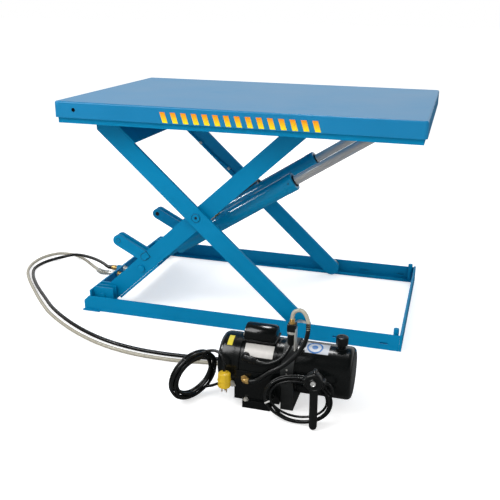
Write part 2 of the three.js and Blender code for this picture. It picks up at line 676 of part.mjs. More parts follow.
function plug() {
  const centre = [738, -440];
  const body = turned(new THREE.Vector3(...centre, 118), new THREE.Vector3(...centre, 60), [[0, 0], [8, 0], [9, 8],
    [19, 12], [19, 30], [17, 32], [17, 52], [0, 52]], 16);
  const blades = [[-8, -6, -3, 3], [6, 8, -3, 3], [-2, 2, 7, 11]].map(([x0, x1, y0, y1]) => block(
    [centre[0] + x0, centre[0] + x1], [centre[1] + y0, centre[1] + y1], [44, 68]));
  return join(body, ...blades);
}

add('plug', 'yellow', plug());

// ---------------------------------------------------------------- footprint
// The origin is on the floor, under the middle of the machine's box without its loose cords.
const footprintFront = pendantY[0] - 4;
table.position.set(-deckLength / 2, -(footprintFront + deckDepth) / 2, 0);

export default table;
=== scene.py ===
import math

import bpy
from mathutils import Matrix, Vector


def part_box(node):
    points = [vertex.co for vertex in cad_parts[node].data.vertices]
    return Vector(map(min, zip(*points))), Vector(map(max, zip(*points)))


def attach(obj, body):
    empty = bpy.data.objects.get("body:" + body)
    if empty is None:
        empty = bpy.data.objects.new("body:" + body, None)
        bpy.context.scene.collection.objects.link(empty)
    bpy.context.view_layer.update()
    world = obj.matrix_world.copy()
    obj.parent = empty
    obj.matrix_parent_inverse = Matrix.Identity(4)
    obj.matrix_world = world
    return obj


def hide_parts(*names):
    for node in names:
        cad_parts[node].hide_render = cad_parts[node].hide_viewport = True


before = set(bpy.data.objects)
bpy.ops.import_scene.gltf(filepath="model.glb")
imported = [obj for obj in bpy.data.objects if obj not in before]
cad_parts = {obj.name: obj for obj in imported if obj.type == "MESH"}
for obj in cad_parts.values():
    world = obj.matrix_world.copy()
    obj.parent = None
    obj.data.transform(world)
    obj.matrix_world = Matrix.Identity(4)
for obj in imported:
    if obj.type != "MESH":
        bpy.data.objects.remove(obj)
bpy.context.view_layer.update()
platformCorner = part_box("deck_pan")[0]  # left front corner of the platform
depth = 812.8  # the platform's depth, which front and rear pieces mirror across


def at(x, y, z):
    # millimetres from the platform's left front corner and the floor, as a point in the frame
    return Vector((platformCorner.x + x / 1000, platformCorner.y + y / 1000, z / 1000))


def clearSelection():
    if bpy.context.object and bpy.context.object.mode != "OBJECT":
        bpy.ops.object.mode_set(mode="OBJECT")
    bpy.ops.object.select_all(action="DESELECT")


def pick(obj):
    clearSelection()
    obj.select_set(True)
    bpy.context.view_layer.objects.active = obj


clearSelection()

# ---- camera
cameraSetup = {"place": (1291.7, -2165.9, 1109.2), "turn": -15.64, "down": 19.19, "roll": 0.76, "lens": 52.19}


def setCamera():
    turn, down, roll = (math.radians(cameraSetup[key]) for key in ("turn", "down", "roll"))
    ahead = Vector((math.sin(turn) * math.cos(down), math.cos(turn) * math.cos(down), -math.sin(down)))
    level = Vector((math.cos(turn), -math.sin(turn), 0))
    upright = level.cross(ahead)
    across = level * math.cos(roll) + upright * math.sin(roll)
    above = upright * math.cos(roll) - level * math.sin(roll)
    bpy.ops.object.camera_add(location=(0, 0, 0))
    camera = bpy.context.object
    camera.name = "camera"
    camera.data.lens = cameraSetup["lens"]
    camera.data.sensor_width = 36
    turnMatrix = Matrix((across, above, -ahead)).transposed().to_4x4()
    camera.matrix_world = Matrix.Translation(at(*cameraSetup["place"])) @ turnMatrix
    bpy.context.scene.camera = camera


setCamera()
print("camera set")

# ---- shared surface effects


def newGroup(name, inputs, outputs):
    group = bpy.data.node_groups.new(name, "ShaderNodeTree")
    for label, kind, value in inputs:
        socket = group.interface.new_socket(name=label, in_out="INPUT", socket_type=kind)
        socket.default_value = value
    for label, kind in outputs:
        group.interface.new_socket(name=label, in_out="OUTPUT", socket_type=kind)
    return group, group.nodes.new("NodeGroupInput"), group.nodes.new("NodeGroupOutput")


def addNode(tree, kind, links=(), **settings):
    node = tree.nodes.new(kind)
    for key, value in settings.items():
        setattr(node, key, value)
    for socket, source in links:
        if hasattr(source, "is_output"):
            tree.links.new(source, node.inputs[socket])
        else:
            node.inputs[socket].default_value = source
    return node


def makeFinishGroup():
    # uneven colour and gloss over a whole surface, with fine orange peel in its height
    group, given, made = newGroup("finishVariation", [
        ("Color", "NodeSocketColor", (0.5, 0.5, 0.5, 1)), ("Shade", "NodeSocketFloat", 0.08),
        ("Patch Scale", "NodeSocketFloat", 6.0), ("Roughness", "NodeSocketFloat", 0.4),
        ("Gloss Spread", "NodeSocketFloat", 0.1), ("Peel Scale", "NodeSocketFloat", 400.0)],
        [("Color", "NodeSocketColor"), ("Roughness", "NodeSocketFloat"), ("Height", "NodeSocketFloat")])
    place = addNode(group, "ShaderNodeTexCoord").outputs["Object"]
    patch = addNode(group, "ShaderNodeTexNoise", [("Vector", place), ("Scale", given.outputs["Patch Scale"]),
        ("Detail", 5.0), ("Roughness", 0.6)])
    peel = addNode(group, "ShaderNodeTexNoise", [("Vector", place), ("Scale", given.outputs["Peel Scale"]),
        ("Detail", 2.0)])
    centred = addNode(group, "ShaderNodeMath", [(0, patch.outputs["Fac"]), (1, 0.5)], operation="SUBTRACT")
    amount = addNode(group, "ShaderNodeMath", [(0, centred.outputs[0]), (1, given.outputs["Shade"])],
        operation="MULTIPLY")
    factor = addNode(group, "ShaderNodeMath", [(0, amount.outputs[0]), (1, 4.0), (2, 1.0)],
            operation="MULTIPLY_ADD")
    shaded = addNode(group, "ShaderNodeVectorMath", [(0, given.outputs["Color"]),
        ("Scale", factor.outputs[0])], operation="SCALE")
    rough = addNode(group, "ShaderNodeMath", [(0, centred.outputs[0]), (1, given.outputs["Gloss Spread"]),
        (2, given.outputs["Roughness"])], operation="MULTIPLY_ADD")
    group.links.new(shaded.outputs[0], made.inputs["Color"])
    group.links.new(rough.outputs[0], made.inputs["Roughness"])
    group.links.new(peel.outputs["Fac"], made.inputs["Height"])
    return group


def makeScuffGroup():
    # thin rubbed streaks and specks where loads and boots have touched
    group, given, made = newGroup("scuffMarks", [
        ("Color", "NodeSocketColor", (0.5, 0.5, 0.5, 1)), ("Scuff Color", "NodeSocketColor",
        (0.4, 0.5, 0.55, 1)), ("Roughness", "NodeSocketFloat", 0.4), ("Scale", "NodeSocketFloat", 9.0),
        ("Amount", "NodeSocketFloat", 0.3)],
        [("Color", "NodeSocketColor"), ("Roughness", "NodeSocketFloat"), ("Mask", "NodeSocketFloat")])
    place = addNode(group, "ShaderNodeTexCoord").outputs["Object"]
    streaked = addNode(group, "ShaderNodeMapping", [("Vector", place), ("Rotation", (0.3, 0.2, 0.5)),
        ("Scale", (1.0, 9.0, 4.0))])
    streaks = addNode(group, "ShaderNodeTexNoise", [("Vector", streaked.outputs[0]),
        ("Scale", given.outputs["Scale"]), ("Detail", 8.0), ("Roughness", 0.65)])
    specks = addNode(group, "ShaderNodeTexNoise", [("Vector", place), ("Scale", 3.0), ("Detail", 3.0)])
    both = addNode(group, "ShaderNodeMath", [(0, streaks.outputs["Fac"]), (1, specks.outputs["Fac"])],
        operation="MULTIPLY")
    mask = addNode(group, "ShaderNodeMapRange", [("Value", both.outputs[0]), ("From Min", 0.33),
        ("From Max", 0.42), ("To Min", 0.0), ("To Max", given.outputs["Amount"])])
    mixed = addNode(group, "ShaderNodeMix", [("Factor", mask.outputs[0]), (6, given.outputs["Color"]),
        (7, given.outputs["Scuff Color"])], data_type="RGBA")
    rough = addNode(group, "ShaderNodeMath", [(0, mask.outputs[0]), (1, 0.35),
        (2, given.outputs["Roughness"])], operation="MULTIPLY_ADD")
    group.links.new(mixed.outputs[2], made.inputs["Color"])
    group.links.new(rough.outputs[0], made.inputs["Roughness"])
    group.links.new(mask.outputs[0], made.inputs["Mask"])
    return group


finishVariation = makeFinishGroup()
scuffMarks = makeScuffGroup()


def makeFinish(name, color, rough, metal=0.0, shade=0.08, patch=6.0, spread=0.12, peel=400.0, bump=0.1,
               relief=0.0004, scuff=0.0, scuffColor=(0.45, 0.52, 0.56), scuffScale=9.0, coat=0.0, **sockets):
    material = bpy.data.materials.new(name)
    material.use_nodes = True
    tree = material.node_tree
    shader = tree.nodes["Principled BSDF"]
    finish = addNode(tree, "ShaderNodeGroup", node_tree=finishVariation)
    finish.inputs["Color"].default_value = (*color, 1)
    for socket, value in (("Shade", shade), ("Patch Scale", patch), ("Roughness", rough),
                          ("Gloss Spread", spread), ("Peel Scale", peel)):
        finish.inputs[socket].default_value = value
    colorFrom, roughFrom = finish.outputs["Color"], finish.outputs["Roughness"]
    if scuff:
        marks = addNode(tree, "ShaderNodeGroup", node_tree=scuffMarks)
        marks.inputs["Scuff Color"].default_value = (*scuffColor, 1)
        marks.inputs["Amount"].default_value = scuff
        marks.inputs["Scale"].default_value = scuffScale
        tree.links.new(colorFrom, marks.inputs["Color"])
        tree.links.new(roughFrom, marks.inputs["Roughness"])
        colorFrom, roughFrom = marks.outputs["Color"], marks.outputs["Roughness"]
    tree.links.new(colorFrom, shader.inputs["Base Color"])
    tree.links.new(roughFrom, shader.inputs["Roughness"])
    relieved = addNode(tree, "ShaderNodeBump", [("Strength", bump), ("Distance", relief),
        ("Height", finish.outputs["Height"])])
    tree.links.new(relieved.outputs[0], shader.inputs["Normal"])
    shader.inputs["Metallic"].default_value = metal
    if coat:
        shader.inputs["Coat Weight"].default_value = coat
        shader.inputs["Coat Roughness"].default_value = 0.08
    for socket, value in sockets.items():
        shader.inputs[socket.replace("_", " ")].default_value = value
    return material


finishes = {
    "framePaint": makeFinish("framePaint", (0.0, 0.228, 0.455), 0.38, shade=0.07, peel=260, bump=0.12,
                             scuff=0.2, scuffColor=(0.0, 0.26, 0.46), Specular_IOR_Level=0.1),
    "tubePaint": makeFinish("tubePaint", (0.0, 0.235, 0.45), 0.2, shade=0.05, peel=300, bump=0.05, scuff=0.15,
                            scuffColor=(0.0, 0.24, 0.44), Specular_IOR_Level=0.6),
    "platformPaint": makeFinish("platformPaint", (0.0, 0.215, 0.455), 0.36, shade=0.05, patch=3, peel=240,
                                bump=0.1, scuff=0.18, scuffColor=(0.0, 0.26, 0.48), Specular_IOR_Level=0.4),
    "blackEnamel": makeFinish("blackEnamel", (0.003, 0.004, 0.004), 0.2, shade=0.2, peel=300, bump=0.06,
                              scuff=0.08, scuffColor=(0.02, 0.022, 0.024), Specular_IOR_Level=0.5),
    "blackPlastic": makeFinish("blackPlastic", (0.005, 0.006, 0.006), 0.3, shade=0.15, peel=1500, bump=0.2),
    "hoseRubber": makeFinish("hoseRubber", (0.006, 0.007, 0.007), 0.26, shade=0.25, patch=30, peel=1800,
                             bump=0.25),
    "rodChrome": makeFinish("rodChrome", (0.82, 0.82, 0.8), 0.16, metal=0.62, shade=0.03, peel=900,
                            bump=0.03),
    "turnedSteel": makeFinish("turnedSteel", (0.5, 0.49, 0.46), 0.33, metal=0.7, shade=0.12, patch=40,
                              peel=900, bump=0.15, scuff=0.3, scuffColor=(0.3, 0.27, 0.22), scuffScale=30),
    "zincPlate": makeFinish("zincPlate", (0.66, 0.65, 0.6), 0.3, metal=0.5, shade=0.1, patch=60, peel=1200,
                            bump=0.12),
    "yellowBrass": makeFinish("yellowBrass", (0.62, 0.4, 0.13), 0.28, metal=0.6, shade=0.14, patch=50,
                              peel=900, bump=0.12),
    "castFlange": makeFinish("castFlange", (0.03, 0.033, 0.033), 0.42, metal=0.2, shade=0.2, patch=30,
                             peel=220, bump=0.5, relief=0.0008),
    "plugYellow": makeFinish("plugYellow", (0.72, 0.47, 0.012), 0.36, shade=0.06, patch=40, peel=1000,
                             bump=0.15),
    "braidedTube": makeFinish("braidedTube", (0.44, 0.41, 0.33), 0.22, shade=0.2, patch=120, peel=900,
                              bump=0.4),
    "plateSilver": makeFinish("plateSilver", (0.62, 0.6, 0.57), 0.34, metal=0.15, shade=0.12, patch=40,
                              peel=900),
    "labelWhite": makeFinish("labelWhite", (0.62, 0.66, 0.72), 0.4, shade=0.04, patch=30, peel=800,
                             bump=0.05),
    "labelBlue": makeFinish("labelBlue", (0.01, 0.16, 0.5), 0.4, shade=0.04, patch=30, peel=800, bump=0.05),
    "stickerYellow": makeFinish("stickerYellow", (0.75, 0.62, 0.02), 0.4, shade=0.1, patch=60, peel=800,
                                bump=0.05),
    # near black: the dark seams and plug sockets, and painted shade on the glands' spanner holes
    "darkBore": makeFinish("darkBore", (0.006, 0.006, 0.007), 0.6, shade=0.1, peel=900),
    "tieWhite": makeFinish("tieWhite", (0.7, 0.7, 0.68), 0.5, shade=0.05, peel=900),
}


def makeStripePaint():
    # orange at the stripe's top fading to yellow at its foot
    material = bpy.data.materials.new("stripePaint")
    material.use_nodes = True
    tree = material.node_tree
    shader = tree.nodes["Principled BSDF"]
    place = addNode(tree, "ShaderNodeTexCoord").outputs["Object"]
    height = addNode(tree, "ShaderNodeSeparateXYZ", [(0, place)]).outputs["Z"]
    fade = addNode(tree, "ShaderNodeMapRange", [("Value", height), ("From Min", 0.726), ("From Max", 0.761)])
    grain = addNode(tree, "ShaderNodeTexNoise", [("Vector", place), ("Scale", 300.0)])
    ramp = addNode(tree, "ShaderNodeValToRGB", [("Fac", fade.outputs[0])])
    ramp.color_ramp.elements[0].color = (1.0, 0.86, 0.0, 1)
    ramp.color_ramp.elements[1].color = (1.0, 0.26, 0.0, 1)
    bump = addNode(tree, "ShaderNodeBump", [("Strength", 0.05), ("Distance", 0.0002),
            ("Height", grain.outputs[0])])
    tree.links.new(ramp.outputs[0], shader.inputs["Base Color"])
    tree.links.new(bump.outputs[0], shader.inputs["Normal"])
    shader.inputs["Roughness"].default_value = 0.42
    return material


finishes["stripePaint"] = makeStripePaint()
print("finishes made")

# ---- making pieces


def fixNormals(obj):
    pick(obj)
    bpy.ops.object.mode_set(mode="EDIT")
    bpy.ops.mesh.select_all(action="SELECT")
    bpy.ops.mesh.remove_doubles(threshold=0.00001)
    bpy.ops.mesh.normals_make_consistent(inside=False)
    bpy.ops.object.mode_set(mode="OBJECT")


def settle(obj, name, body, finish, replaces=(), edge=0.0, segments=2, angle=35):
    # rounds the edges, smooths the faces, gives the finish and fixes the piece to its body
    pick(obj)
    bpy.ops.object.transform_apply(location=True, rotation=True, scale=True)
    if edge:
        rounding = obj.modifiers.new("edge", "BEVEL")
        rounding.width = edge / 1000
        rounding.segments = segments
        rounding.limit_method = "ANGLE"
        rounding.angle_limit = math.radians(angle)
        rounding.harden_normals = False
        bpy.ops.object.modifier_apply(modifier="edge")
    bpy.ops.object.shade_smooth_by_angle(angle=math.radians(34))
    if edge:
        # flat faces keep their own normals, so the rounding shades only the edge
        flats = obj.modifiers.new("flats", "WEIGHTED_NORMAL")
        flats.keep_sharp = True
        flats.weight = 100
        bpy.ops.object.modifier_apply(modifier="flats")
    obj.name = name
    obj.data.materials.clear()
    obj.data.materials.append(finishes[finish])
    if replaces:
        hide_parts(*replaces)
    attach(obj, body)
    return obj


def placeAlong(obj, start, end):
    start, end = at(*start), at(*end)
    turn = Vector((0, 0, 1)).rotation_difference((end - start).normalized())
    obj.matrix_world = Matrix.Translation(start) @ turn.to_matrix().to_4x4()
    pick(obj)
    bpy.ops.object.transform_apply(location=True, rotation=True, scale=True)


def turned(start, end, steps, sides=48):
    # a round piece: each step is a radius and its distance from start towards end
    radius, level = steps[0]
    clearSelection()
    bpy.ops.mesh.primitive_circle_add(vertices=sides, radius=radius / 1000, fill_type="NGON",
                                      location=(0, 0, level / 1000))
    obj = bpy.context.object
    bpy.ops.object.transform_apply(location=True)
    bpy.ops.object.mode_set(mode="EDIT")
    bpy.ops.mesh.select_all(action="SELECT")
    for nextRadius, nextLevel in steps[1:]:
        bpy.ops.mesh.extrude_region_move(TRANSFORM_OT_translate={"value": (0, 0, (nextLevel - level) / 1000)})
        if nextRadius != radius:
            grow = nextRadius / radius
            bpy.ops.transform.resize(value=(grow, grow, 1), center_override=(0, 0, 0))
        radius, level = nextRadius, nextLevel
    bpy.ops.object.mode_set(mode="OBJECT")
    fixNormals(obj)
    placeAlong(obj, start, end)
    return obj


def boxPiece(x, y, z):
    low, high = at(x[0], y[0], z[0]), at(x[1], y[1], z[1])
    clearSelection()
    bpy.ops.mesh.primitive_cube_add(size=1, location=(low + high) / 2, scale=high - low)
    bpy.ops.object.transform_apply(location=True, rotation=True, scale=True)
    return bpy.context.object


def joined(pieces):
    clearSelection()
    for piece in pieces:
        piece.select_set(True)
    bpy.context.view_layer.objects.active = pieces[0]
    bpy.ops.object.join()
    return bpy.context.object


def copied(obj, offset):
    pick(obj)
    bpy.ops.object.duplicate(linked=False)
    twin = bpy.context.object
    twin.location = Vector(offset) / 1000
    bpy.ops.object.transform_apply(location=True)
    return twin


def mirrored(obj):
    # a copy on the other long side of the table
    pick(obj)
    bpy.ops.object.duplicate(linked=False)
    twin = bpy.context.object
    middle = at(0, depth / 2, 0).y
    twin.matrix_world = Matrix.Translation((0, 2 * middle, 0)) @ Matrix.Diagonal((1, -1, 1, 1))
    bpy.ops.object.transform_apply(location=True, rotation=True, scale=True)
    fixNormals(twin)
    return twin


def pieceName(finish, node):
    # "painted" and "rail_front" make "paintedRailFront"
    return finish + node.title().replace("_", "")


def worked(node):
    # a copy of a frame piece with its flat faces made whole, ready for its edges to be rounded
    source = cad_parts[node]
    twin = source.copy()
    twin.data = source.data.copy()
    twin.parent = None
    twin.hide_render = twin.hide_viewport = False
    for key in list(twin.keys()):
        del twin[key]
    bpy.context.scene.collection.objects.link(twin)
    twin.matrix_world = source.matrix_world
    pick(twin)
    bpy.ops.object.mode_set(mode="EDIT")
    bpy.ops.mesh.select_all(action="SELECT")
    bpy.ops.mesh.remove_doubles(threshold=0.00002)
    bpy.ops.mesh.dissolve_limited(angle_limit=math.radians(1))
    bpy.ops.object.mode_set(mode="OBJECT")
    return twin


def smoothPath(points, spacing):
    # evenly spaced points on one flowing line through the given ones
    path = [at(*point) for point in points]
    ends = [path[0] * 2 - path[1]] + path + [path[-1] * 2 - path[-2]]
    dense = []
    for a, b, c, d in zip(ends, ends[1:], ends[2:], ends[3:]):
        t1 = max((b - a).length, 1e-6) ** 0.5
        t2 = t1 + max((c - b).length, 1e-6) ** 0.5
        t3 = t2 + max((d - c).length, 1e-6) ** 0.5
        for i in range(12):
            t = t1 + (t2 - t1) * i / 12
            p = a * ((t1 - t) / t1) + b * (t / t1)
            q = b * ((t2 - t) / (t2 - t1)) + c * ((t - t1) / (t2 - t1))
            r = c * ((t3 - t) / (t3 - t2)) + d * ((t - t2) / (t3 - t2))
            s = p * ((t2 - t) / t2) + q * (t / t2)
            u = q * ((t3 - t) / (t3 - t1)) + r * ((t - t1) / (t3 - t1))
            dense.append(s * ((t2 - t) / (t2 - t1)) + u * ((t - t1) / (t2 - t1)))
    dense.append(path[-1])
    total = sum((b - a).length for a, b in zip(dense, dense[1:]))
    count = max(2, round(total / (spacing / 1000)))
    even, travelled, target = [dense[0]], 0.0, total / count
    for a, b in zip(dense, dense[1:]):
        step = (b - a).length
        while step and travelled + step >= target - 1e-9 and len(even) < count:
            even.append(a.lerp(b, (target - travelled) / step))
            target += total / count
        travelled += step
    even.append(dense[-1])
    return even, total


def cordPiece(name, path, diameter, body, finish, replaces=(), ribs=0.0):
    # one open line with a round section; ribs pinches every other point, for a corrugated sleeve
    clearSelection()
    bpy.ops.curve.primitive_bezier_curve_add(location=(0, 0, 0))
    cord = bpy.context.object
    cord.data.splines.clear()
    line = cord.data.splines.new("POLY")
    line.points.add(len(path) - 1)
    for i, point in enumerate(path):
        line.points[i].co = (*point, 1)
        line.points[i].radius = 1 - (ribs if i % 2 else 0)
    cord.data.dimensions = "3D"
    cord.data.bevel_depth = diameter / 2000
    cord.data.bevel_resolution = 4
    cord.data.use_fill_caps = True
    line.use_smooth = True
    cord.name = name
    cord.data.materials.append(finishes[finish])
    if replaces:
        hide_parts(*replaces)
    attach(cord, body)
    return cord


def fluted(piece, x, y, flutes, depth, fromRadius, low=0.0, high=1.0):
    # grip flutes pressed into an upright round piece, outside a radius and between two heights, in metres
    for vertex in piece.data.vertices:
        offset = vertex.co - at(x, y, vertex.co.z * 1000)
        if offset.length > fromRadius and low < vertex.co.z < high:
            wave = math.cos(math.atan2(offset.y, offset.x) * flutes)
            vertex.co -= offset * (depth * (1 + wave) / 2)


def along(path, start, end, steps, sides=32):
    # a turned piece threaded on a cord, between two of its points
    corner = platformCorner
    back = lambda p: ((p.x - corner.x) * 1000, (p.y - corner.y) * 1000, p.z * 1000)
    return turned(back(path[start]), back(path[end]), steps, sides)


# ---- mains plug
plug = {"x": 738, "y": -440, "top": 118, "flutes": 8, "fluteDepth": 0.05, "blades": (51.5, 72), "blade": 1.6}


def makePlug():
    x, y, top = plug["x"], plug["y"], plug["top"]
    body = turned((x, y, top), (x, y, top - 60), [(5.6, 0), (7.6, 1), (8.4, 4), (15, 5.4), (17.6, 7.4),
        (18, 10), (18, 22), (19.4, 24), (19.4, 29), (17.8, 31), (17.8, 43), (18.4, 44.4), (18.4, 46.4),
        (17.4, 48.4), (6, 48.4)], 40)
    fluted(body, x, y, plug["flutes"], plug["fluteDepth"], 0.0165)
    settle(body, "plugBody", "base", "plugYellow", ["plug"], edge=0.3)
    blades = [boxPiece((x + side, x + side + plug["blade"]), (y - 3.4, y + 3.4), plug["blades"])
              for side in (-7.4, 5.8)]
    blades.append(turned((x, y + 8, 72), (x, y + 8, 42), [(2.4, 0), (2.4, 18), (1.6, 20.4), (0.6, 21.2)], 16))
    settle(joined(blades), "plugBlades", "base", "yellowBrass", edge=0.4)


makePlug()

# ---- hoses, mains lead and pendant lead
inlet = 18
hydraulicHose = {
    "diameter": 13, "route": [(inlet - 0.3, 342, 66), (-8, 343, 66), (-50, 384, 61), (-96, 426, 54),
    (-142, 461, 48), (-190, 492, 41), (-235, 518, 33), (-276, 534, 24), (-325, 521, 12), (-360, 486, 7),
    (-374, 440, 7), (-373, 377, 7), (-340, 308, 7), (-274, 222, 7), (-175, 117, 7), (-74, 18, 7),
    (76, -89, 7), (220, -158, 7), (339, -187, 7), (441, -194, 7), (522, -190, 7), (604, -180, 7),
    (690, -172, 7), (760, -168, 8), (830, -168, 16), (878, -178, 34), (903, -196, 52), (911, -214, 60),
    (911, -227, 60), (911, -237.7, 60)]}
drainHose = {
    "diameter": 12, "route": [(inlet - 0.3, 288, 63), (-10, 289, 63), (-52, 326, 59), (-94, 371, 51),
    (-148, 442, 32), (-215, 521, 14), (-300, 580, 6.5), (-372, 574, 6.5), (-410, 512, 6.5), (-414, 435, 6.5),
    (-390, 353, 6.5), (-345, 281, 6.5), (-250, 168, 6.5), (-146, 55, 6.5), (-61, -25, 6.5), (96, -132, 6.5),
    (237, -196, 6.5), (354, -222, 6.5), (454, -227, 6.5), (524, -223, 6.5), (611, -208, 6.5),
    (700, -202, 6.5), (780, -202, 9), (842, -198, 26), (880, -193, 60), (901, -194, 95), (911, -206, 116),
    (911, -224, 118), (911, -237.7, 118)]}
mainsLead = {
    "diameter": 8.5, "start": [(743.7, -406, 62), (735, -406, 62), (720, -404.5, 57.5), (703, -400, 50),
            (688, -396, 40)],
    "centre": (642, -428, 83), "radius": 70, "stretch": 1.0, "turn": 56.6, "lean": -12, "from": -52,
    "sweep": -2030,
    "strands": [(0.0, -7.8), (8.0, -3.0), (6.5, 8.0), (-3.5, 9.0), (-9.0, 5.0), (-9.5, -5.0), (7.0, -6.0)],
    "end": [(670, -425, 158), (687, -418, 163), (703, -417, 165), (717, -421, 163), (729, -429, 155),
            (736, -435, 144), (738, -440, 130), (738, -440, 118.3)]}
pendantLead = {
    "diameter": 7, "start": [(870, -418.3, 46), (870, -425, 46), (868, -431, 48)],
    "centre": (951, -443, 67.5), "radius": 60, "stretch": 1.48, "turn": 0, "lean": 15, "from": 190,
    "sweep": -1600,
    "strands": [(0.0, -7.2), (5.2, -1.4), (3.0, 7.4), (-8.4, 5.6), (-11.0, -3.0)],
    "end": [(1046, -450, 96), (1049, -461, 118), (1046, -471, 136), (1038, -477, 147), (1027, -478, 149)]}


def coilPoint(lead, angle, outwards, sideways):
    # a point on a coil that stands on edge and leans: outwards from its middle, sideways through the bundle
    angle, turn, lean = (math.radians(value) for value in (angle, lead["turn"], lead["lean"]))
    radius = lead["radius"] + outwards
    x = lead["stretch"] * lead["radius"] * math.cos(angle) + outwards * math.cos(angle)
    z = radius * math.sin(angle)
    y = sideways
    y, z = y * math.cos(lean) + z * math.sin(lean), z * math.cos(lean) - y * math.sin(lean)
    x, y = x * math.cos(turn) - y * math.sin(turn), x * math.sin(turn) + y * math.cos(turn)
    return tuple(a + b for a, b in zip(lead["centre"], (x, y, z)))


def coiledPath(lead):
    # the turns take the bundle's strand places in order, easing from one to the next over a sixth of a turn
    count = max(2, round(abs(lead["sweep"]) / 15))
    turns = []
    for i in range(count + 1):
        swept = abs(lead["sweep"]) * i / count / 360
        lap = min(int(swept), len(lead["strands"]) - 1)
        ease = max(0.0, min(1.0, (swept - lap - 0.8) / 0.2))
        ease = ease * ease * (3 - 2 * ease)
        here = lead["strands"][lap]
        there = lead["strands"][min(lap + 1, len(lead["strands"]) - 1)]
        outwards, sideways = (a + (b - a) * ease for a, b in zip(here, there))
        wobble = 0.6 * math.sin(swept * 9.7)
        angle = lead["from"] + lead["sweep"] * i / count
        turns.append(coilPoint(lead, angle, outwards + wobble, sideways))
    return lead["start"] + turns + lead["end"]


def makeCords():
    path, length = smoothPath(hydraulicHose["route"], 12)
    hose = cordPiece("pressureHose", path, hydraulicHose["diameter"], "base", "hoseRubber",
                     ["hydraulic_hose"])
    print("pressure hose", round(length, 3))
    path, length = smoothPath(drainHose["route"], 12)
    hose = cordPiece("drainTube", path, drainHose["diameter"], "base", "braidedTube",
            ["drain_hose"])
    print("drain tube", round(length, 3))
    path, length = smoothPath(coiledPath(mainsLead), 9)
    lead = cordPiece("mainsLead", path, mainsLead["diameter"], "base", "hoseRubber",
                     ["mains_lead", "mains_coil", "mains_tail"])
    print("mains lead", round(length, 3))
    path, length = smoothPath(coiledPath(pendantLead), 8)
    lead = cordPiece("pendantLead", path, pendantLead["diameter"], "base", "hoseRubber",
                     ["pendant_lead", "pendant_coil"])
    print("pendant lead", round(length, 3))


makeCords()

# ---- plates, frames and brackets, their cut edges broken
plates = {
    "base": ["rail_front", "rail_rear", "hinge_beam", "end_bar"],
    "inner_legs": ["inner_leg_front", "inner_leg_rear", "lower_plate", "stop_arm_front", "stop_arm_rear"],
    "outer_legs": ["outer_leg_front", "outer_leg_rear", "upper_plate"],
    "platform": ["toe_frame", "deck_track_front", "deck_track_rear", "deck_hinge_front", "deck_hinge_rear",
                 "rod_anchor_front", "rod_anchor_rear"],
}


def makePlates():
    for body, nodes in plates.items():
        for node in nodes:
            settle(worked(node), pieceName("painted", node), body, "framePaint", [node],
                    edge=0.9)
    settle(worked("deck_pan"), "platformSheet", "platform", "platformPaint", ["deck_pan"],
            edge=0.6)


makePlates()
print("plates made")

# ---- platform markings and fittings
stripes = {"count": 15, "first": 377.8, "pitch": 35.56, "width": 17.6, "lean": 10.6, "top": 760.5,
        "foot": 726.5}
platformScrew = {"place": (71, 751), "head": 7.6, "socket": 3.2}


def makeStripes():
    stripe = boxPiece((stripes["first"], stripes["first"] + stripes["width"]), (-0.4, 0.1),
                      (stripes["foot"], stripes["top"]))
    bpy.ops.object.mode_set(mode="EDIT")
    bpy.ops.mesh.select_all(action="DESELECT")
    bpy.ops.object.mode_set(mode="OBJECT")
    foot = at(0, 0, stripes["foot"]).z
    for vertex in stripe.data.vertices:
        vertex.select = abs(vertex.co.z - foot) < 0.001
    bpy.ops.object.mode_set(mode="EDIT")
    bpy.ops.transform.translate(value=(stripes["lean"] / 1000, 0, 0))
    bpy.ops.object.mode_set(mode="OBJECT")
    rest = [copied(stripe, (stripes["pitch"] * i, 0, 0)) for i in range(1, stripes["count"])]
    settle(joined([stripe] + rest), "hazardStripes", "platform", "stripePaint")


def makePlatformScrew():
    x, z = platformScrew["place"]
    head = turned((x, 9, z), (x, -1, z), [(platformScrew["head"], 0), (platformScrew["head"], 6.2),
        (platformScrew["head"] - 0.9, 7.1), (platformScrew["socket"] + 0.4, 7.1),
        (platformScrew["socket"], 4.0)], 24)
    settle(head, "platformScrew", "platform", "blackEnamel")


makeStripes()
makePlatformScrew()
print("markings made")

# ---- pins, rollers and keepers
centre = (460.7, 385.8)
armRoot, armTip = (250.2, 212.1), (150, 264)
weld = {"ring": 16.6, "bead": 1.5}


def leaned(piece, middle, degrees):
    # tips a piece over in the plane of the legs, clockwise seen from the front, about a point in that plane
    pivot = at(middle[0], 0, middle[1])
    lean = math.radians(degrees)
    for vertex in piece.data.vertices:
        x, z = vertex.co.x - pivot.x, vertex.co.z - pivot.z
        vertex.co.x = pivot.x + x * math.cos(lean) + z * math.sin(lean)
        vertex.co.z = pivot.z + z * math.cos(lean) - x * math.sin(lean)
    return piece


def seam(place, radius, front, name, body):
    # the dark line round a pin where it meets its plate
    x, z = place
    ring = turned((x, front + 1, z), (x, front - 5, z), [(radius, 0), (radius, 1.5), (radius - 2.4, 1.6)], 40)
    settle(ring, name, body, "darkBore")


def weldRing(place, axis, ring, bead, name, body):
    # a fused bead around a pin or tube, its ripples made by swelling the ring's sections in turn
    clearSelection()
    bpy.ops.mesh.primitive_torus_add(major_radius=ring / 1000, minor_radius=bead / 1000, major_segments=72,
                                     minor_segments=8)
    bead = bpy.context.object
    for vertex in bead.data.vertices:
        section = math.atan2(vertex.co.y, vertex.co.x)
        swell = 1 + 0.012 * math.sin(section * 24)
        vertex.co.z *= 1 + 0.18 * math.sin(section * 24 + 0.6)
        vertex.co.x *= swell
        vertex.co.y *= swell
    end = tuple(a + b for a, b in zip(place, axis))
    placeAlong(bead, place, end)
    return settle(bead, name, body, "framePaint")


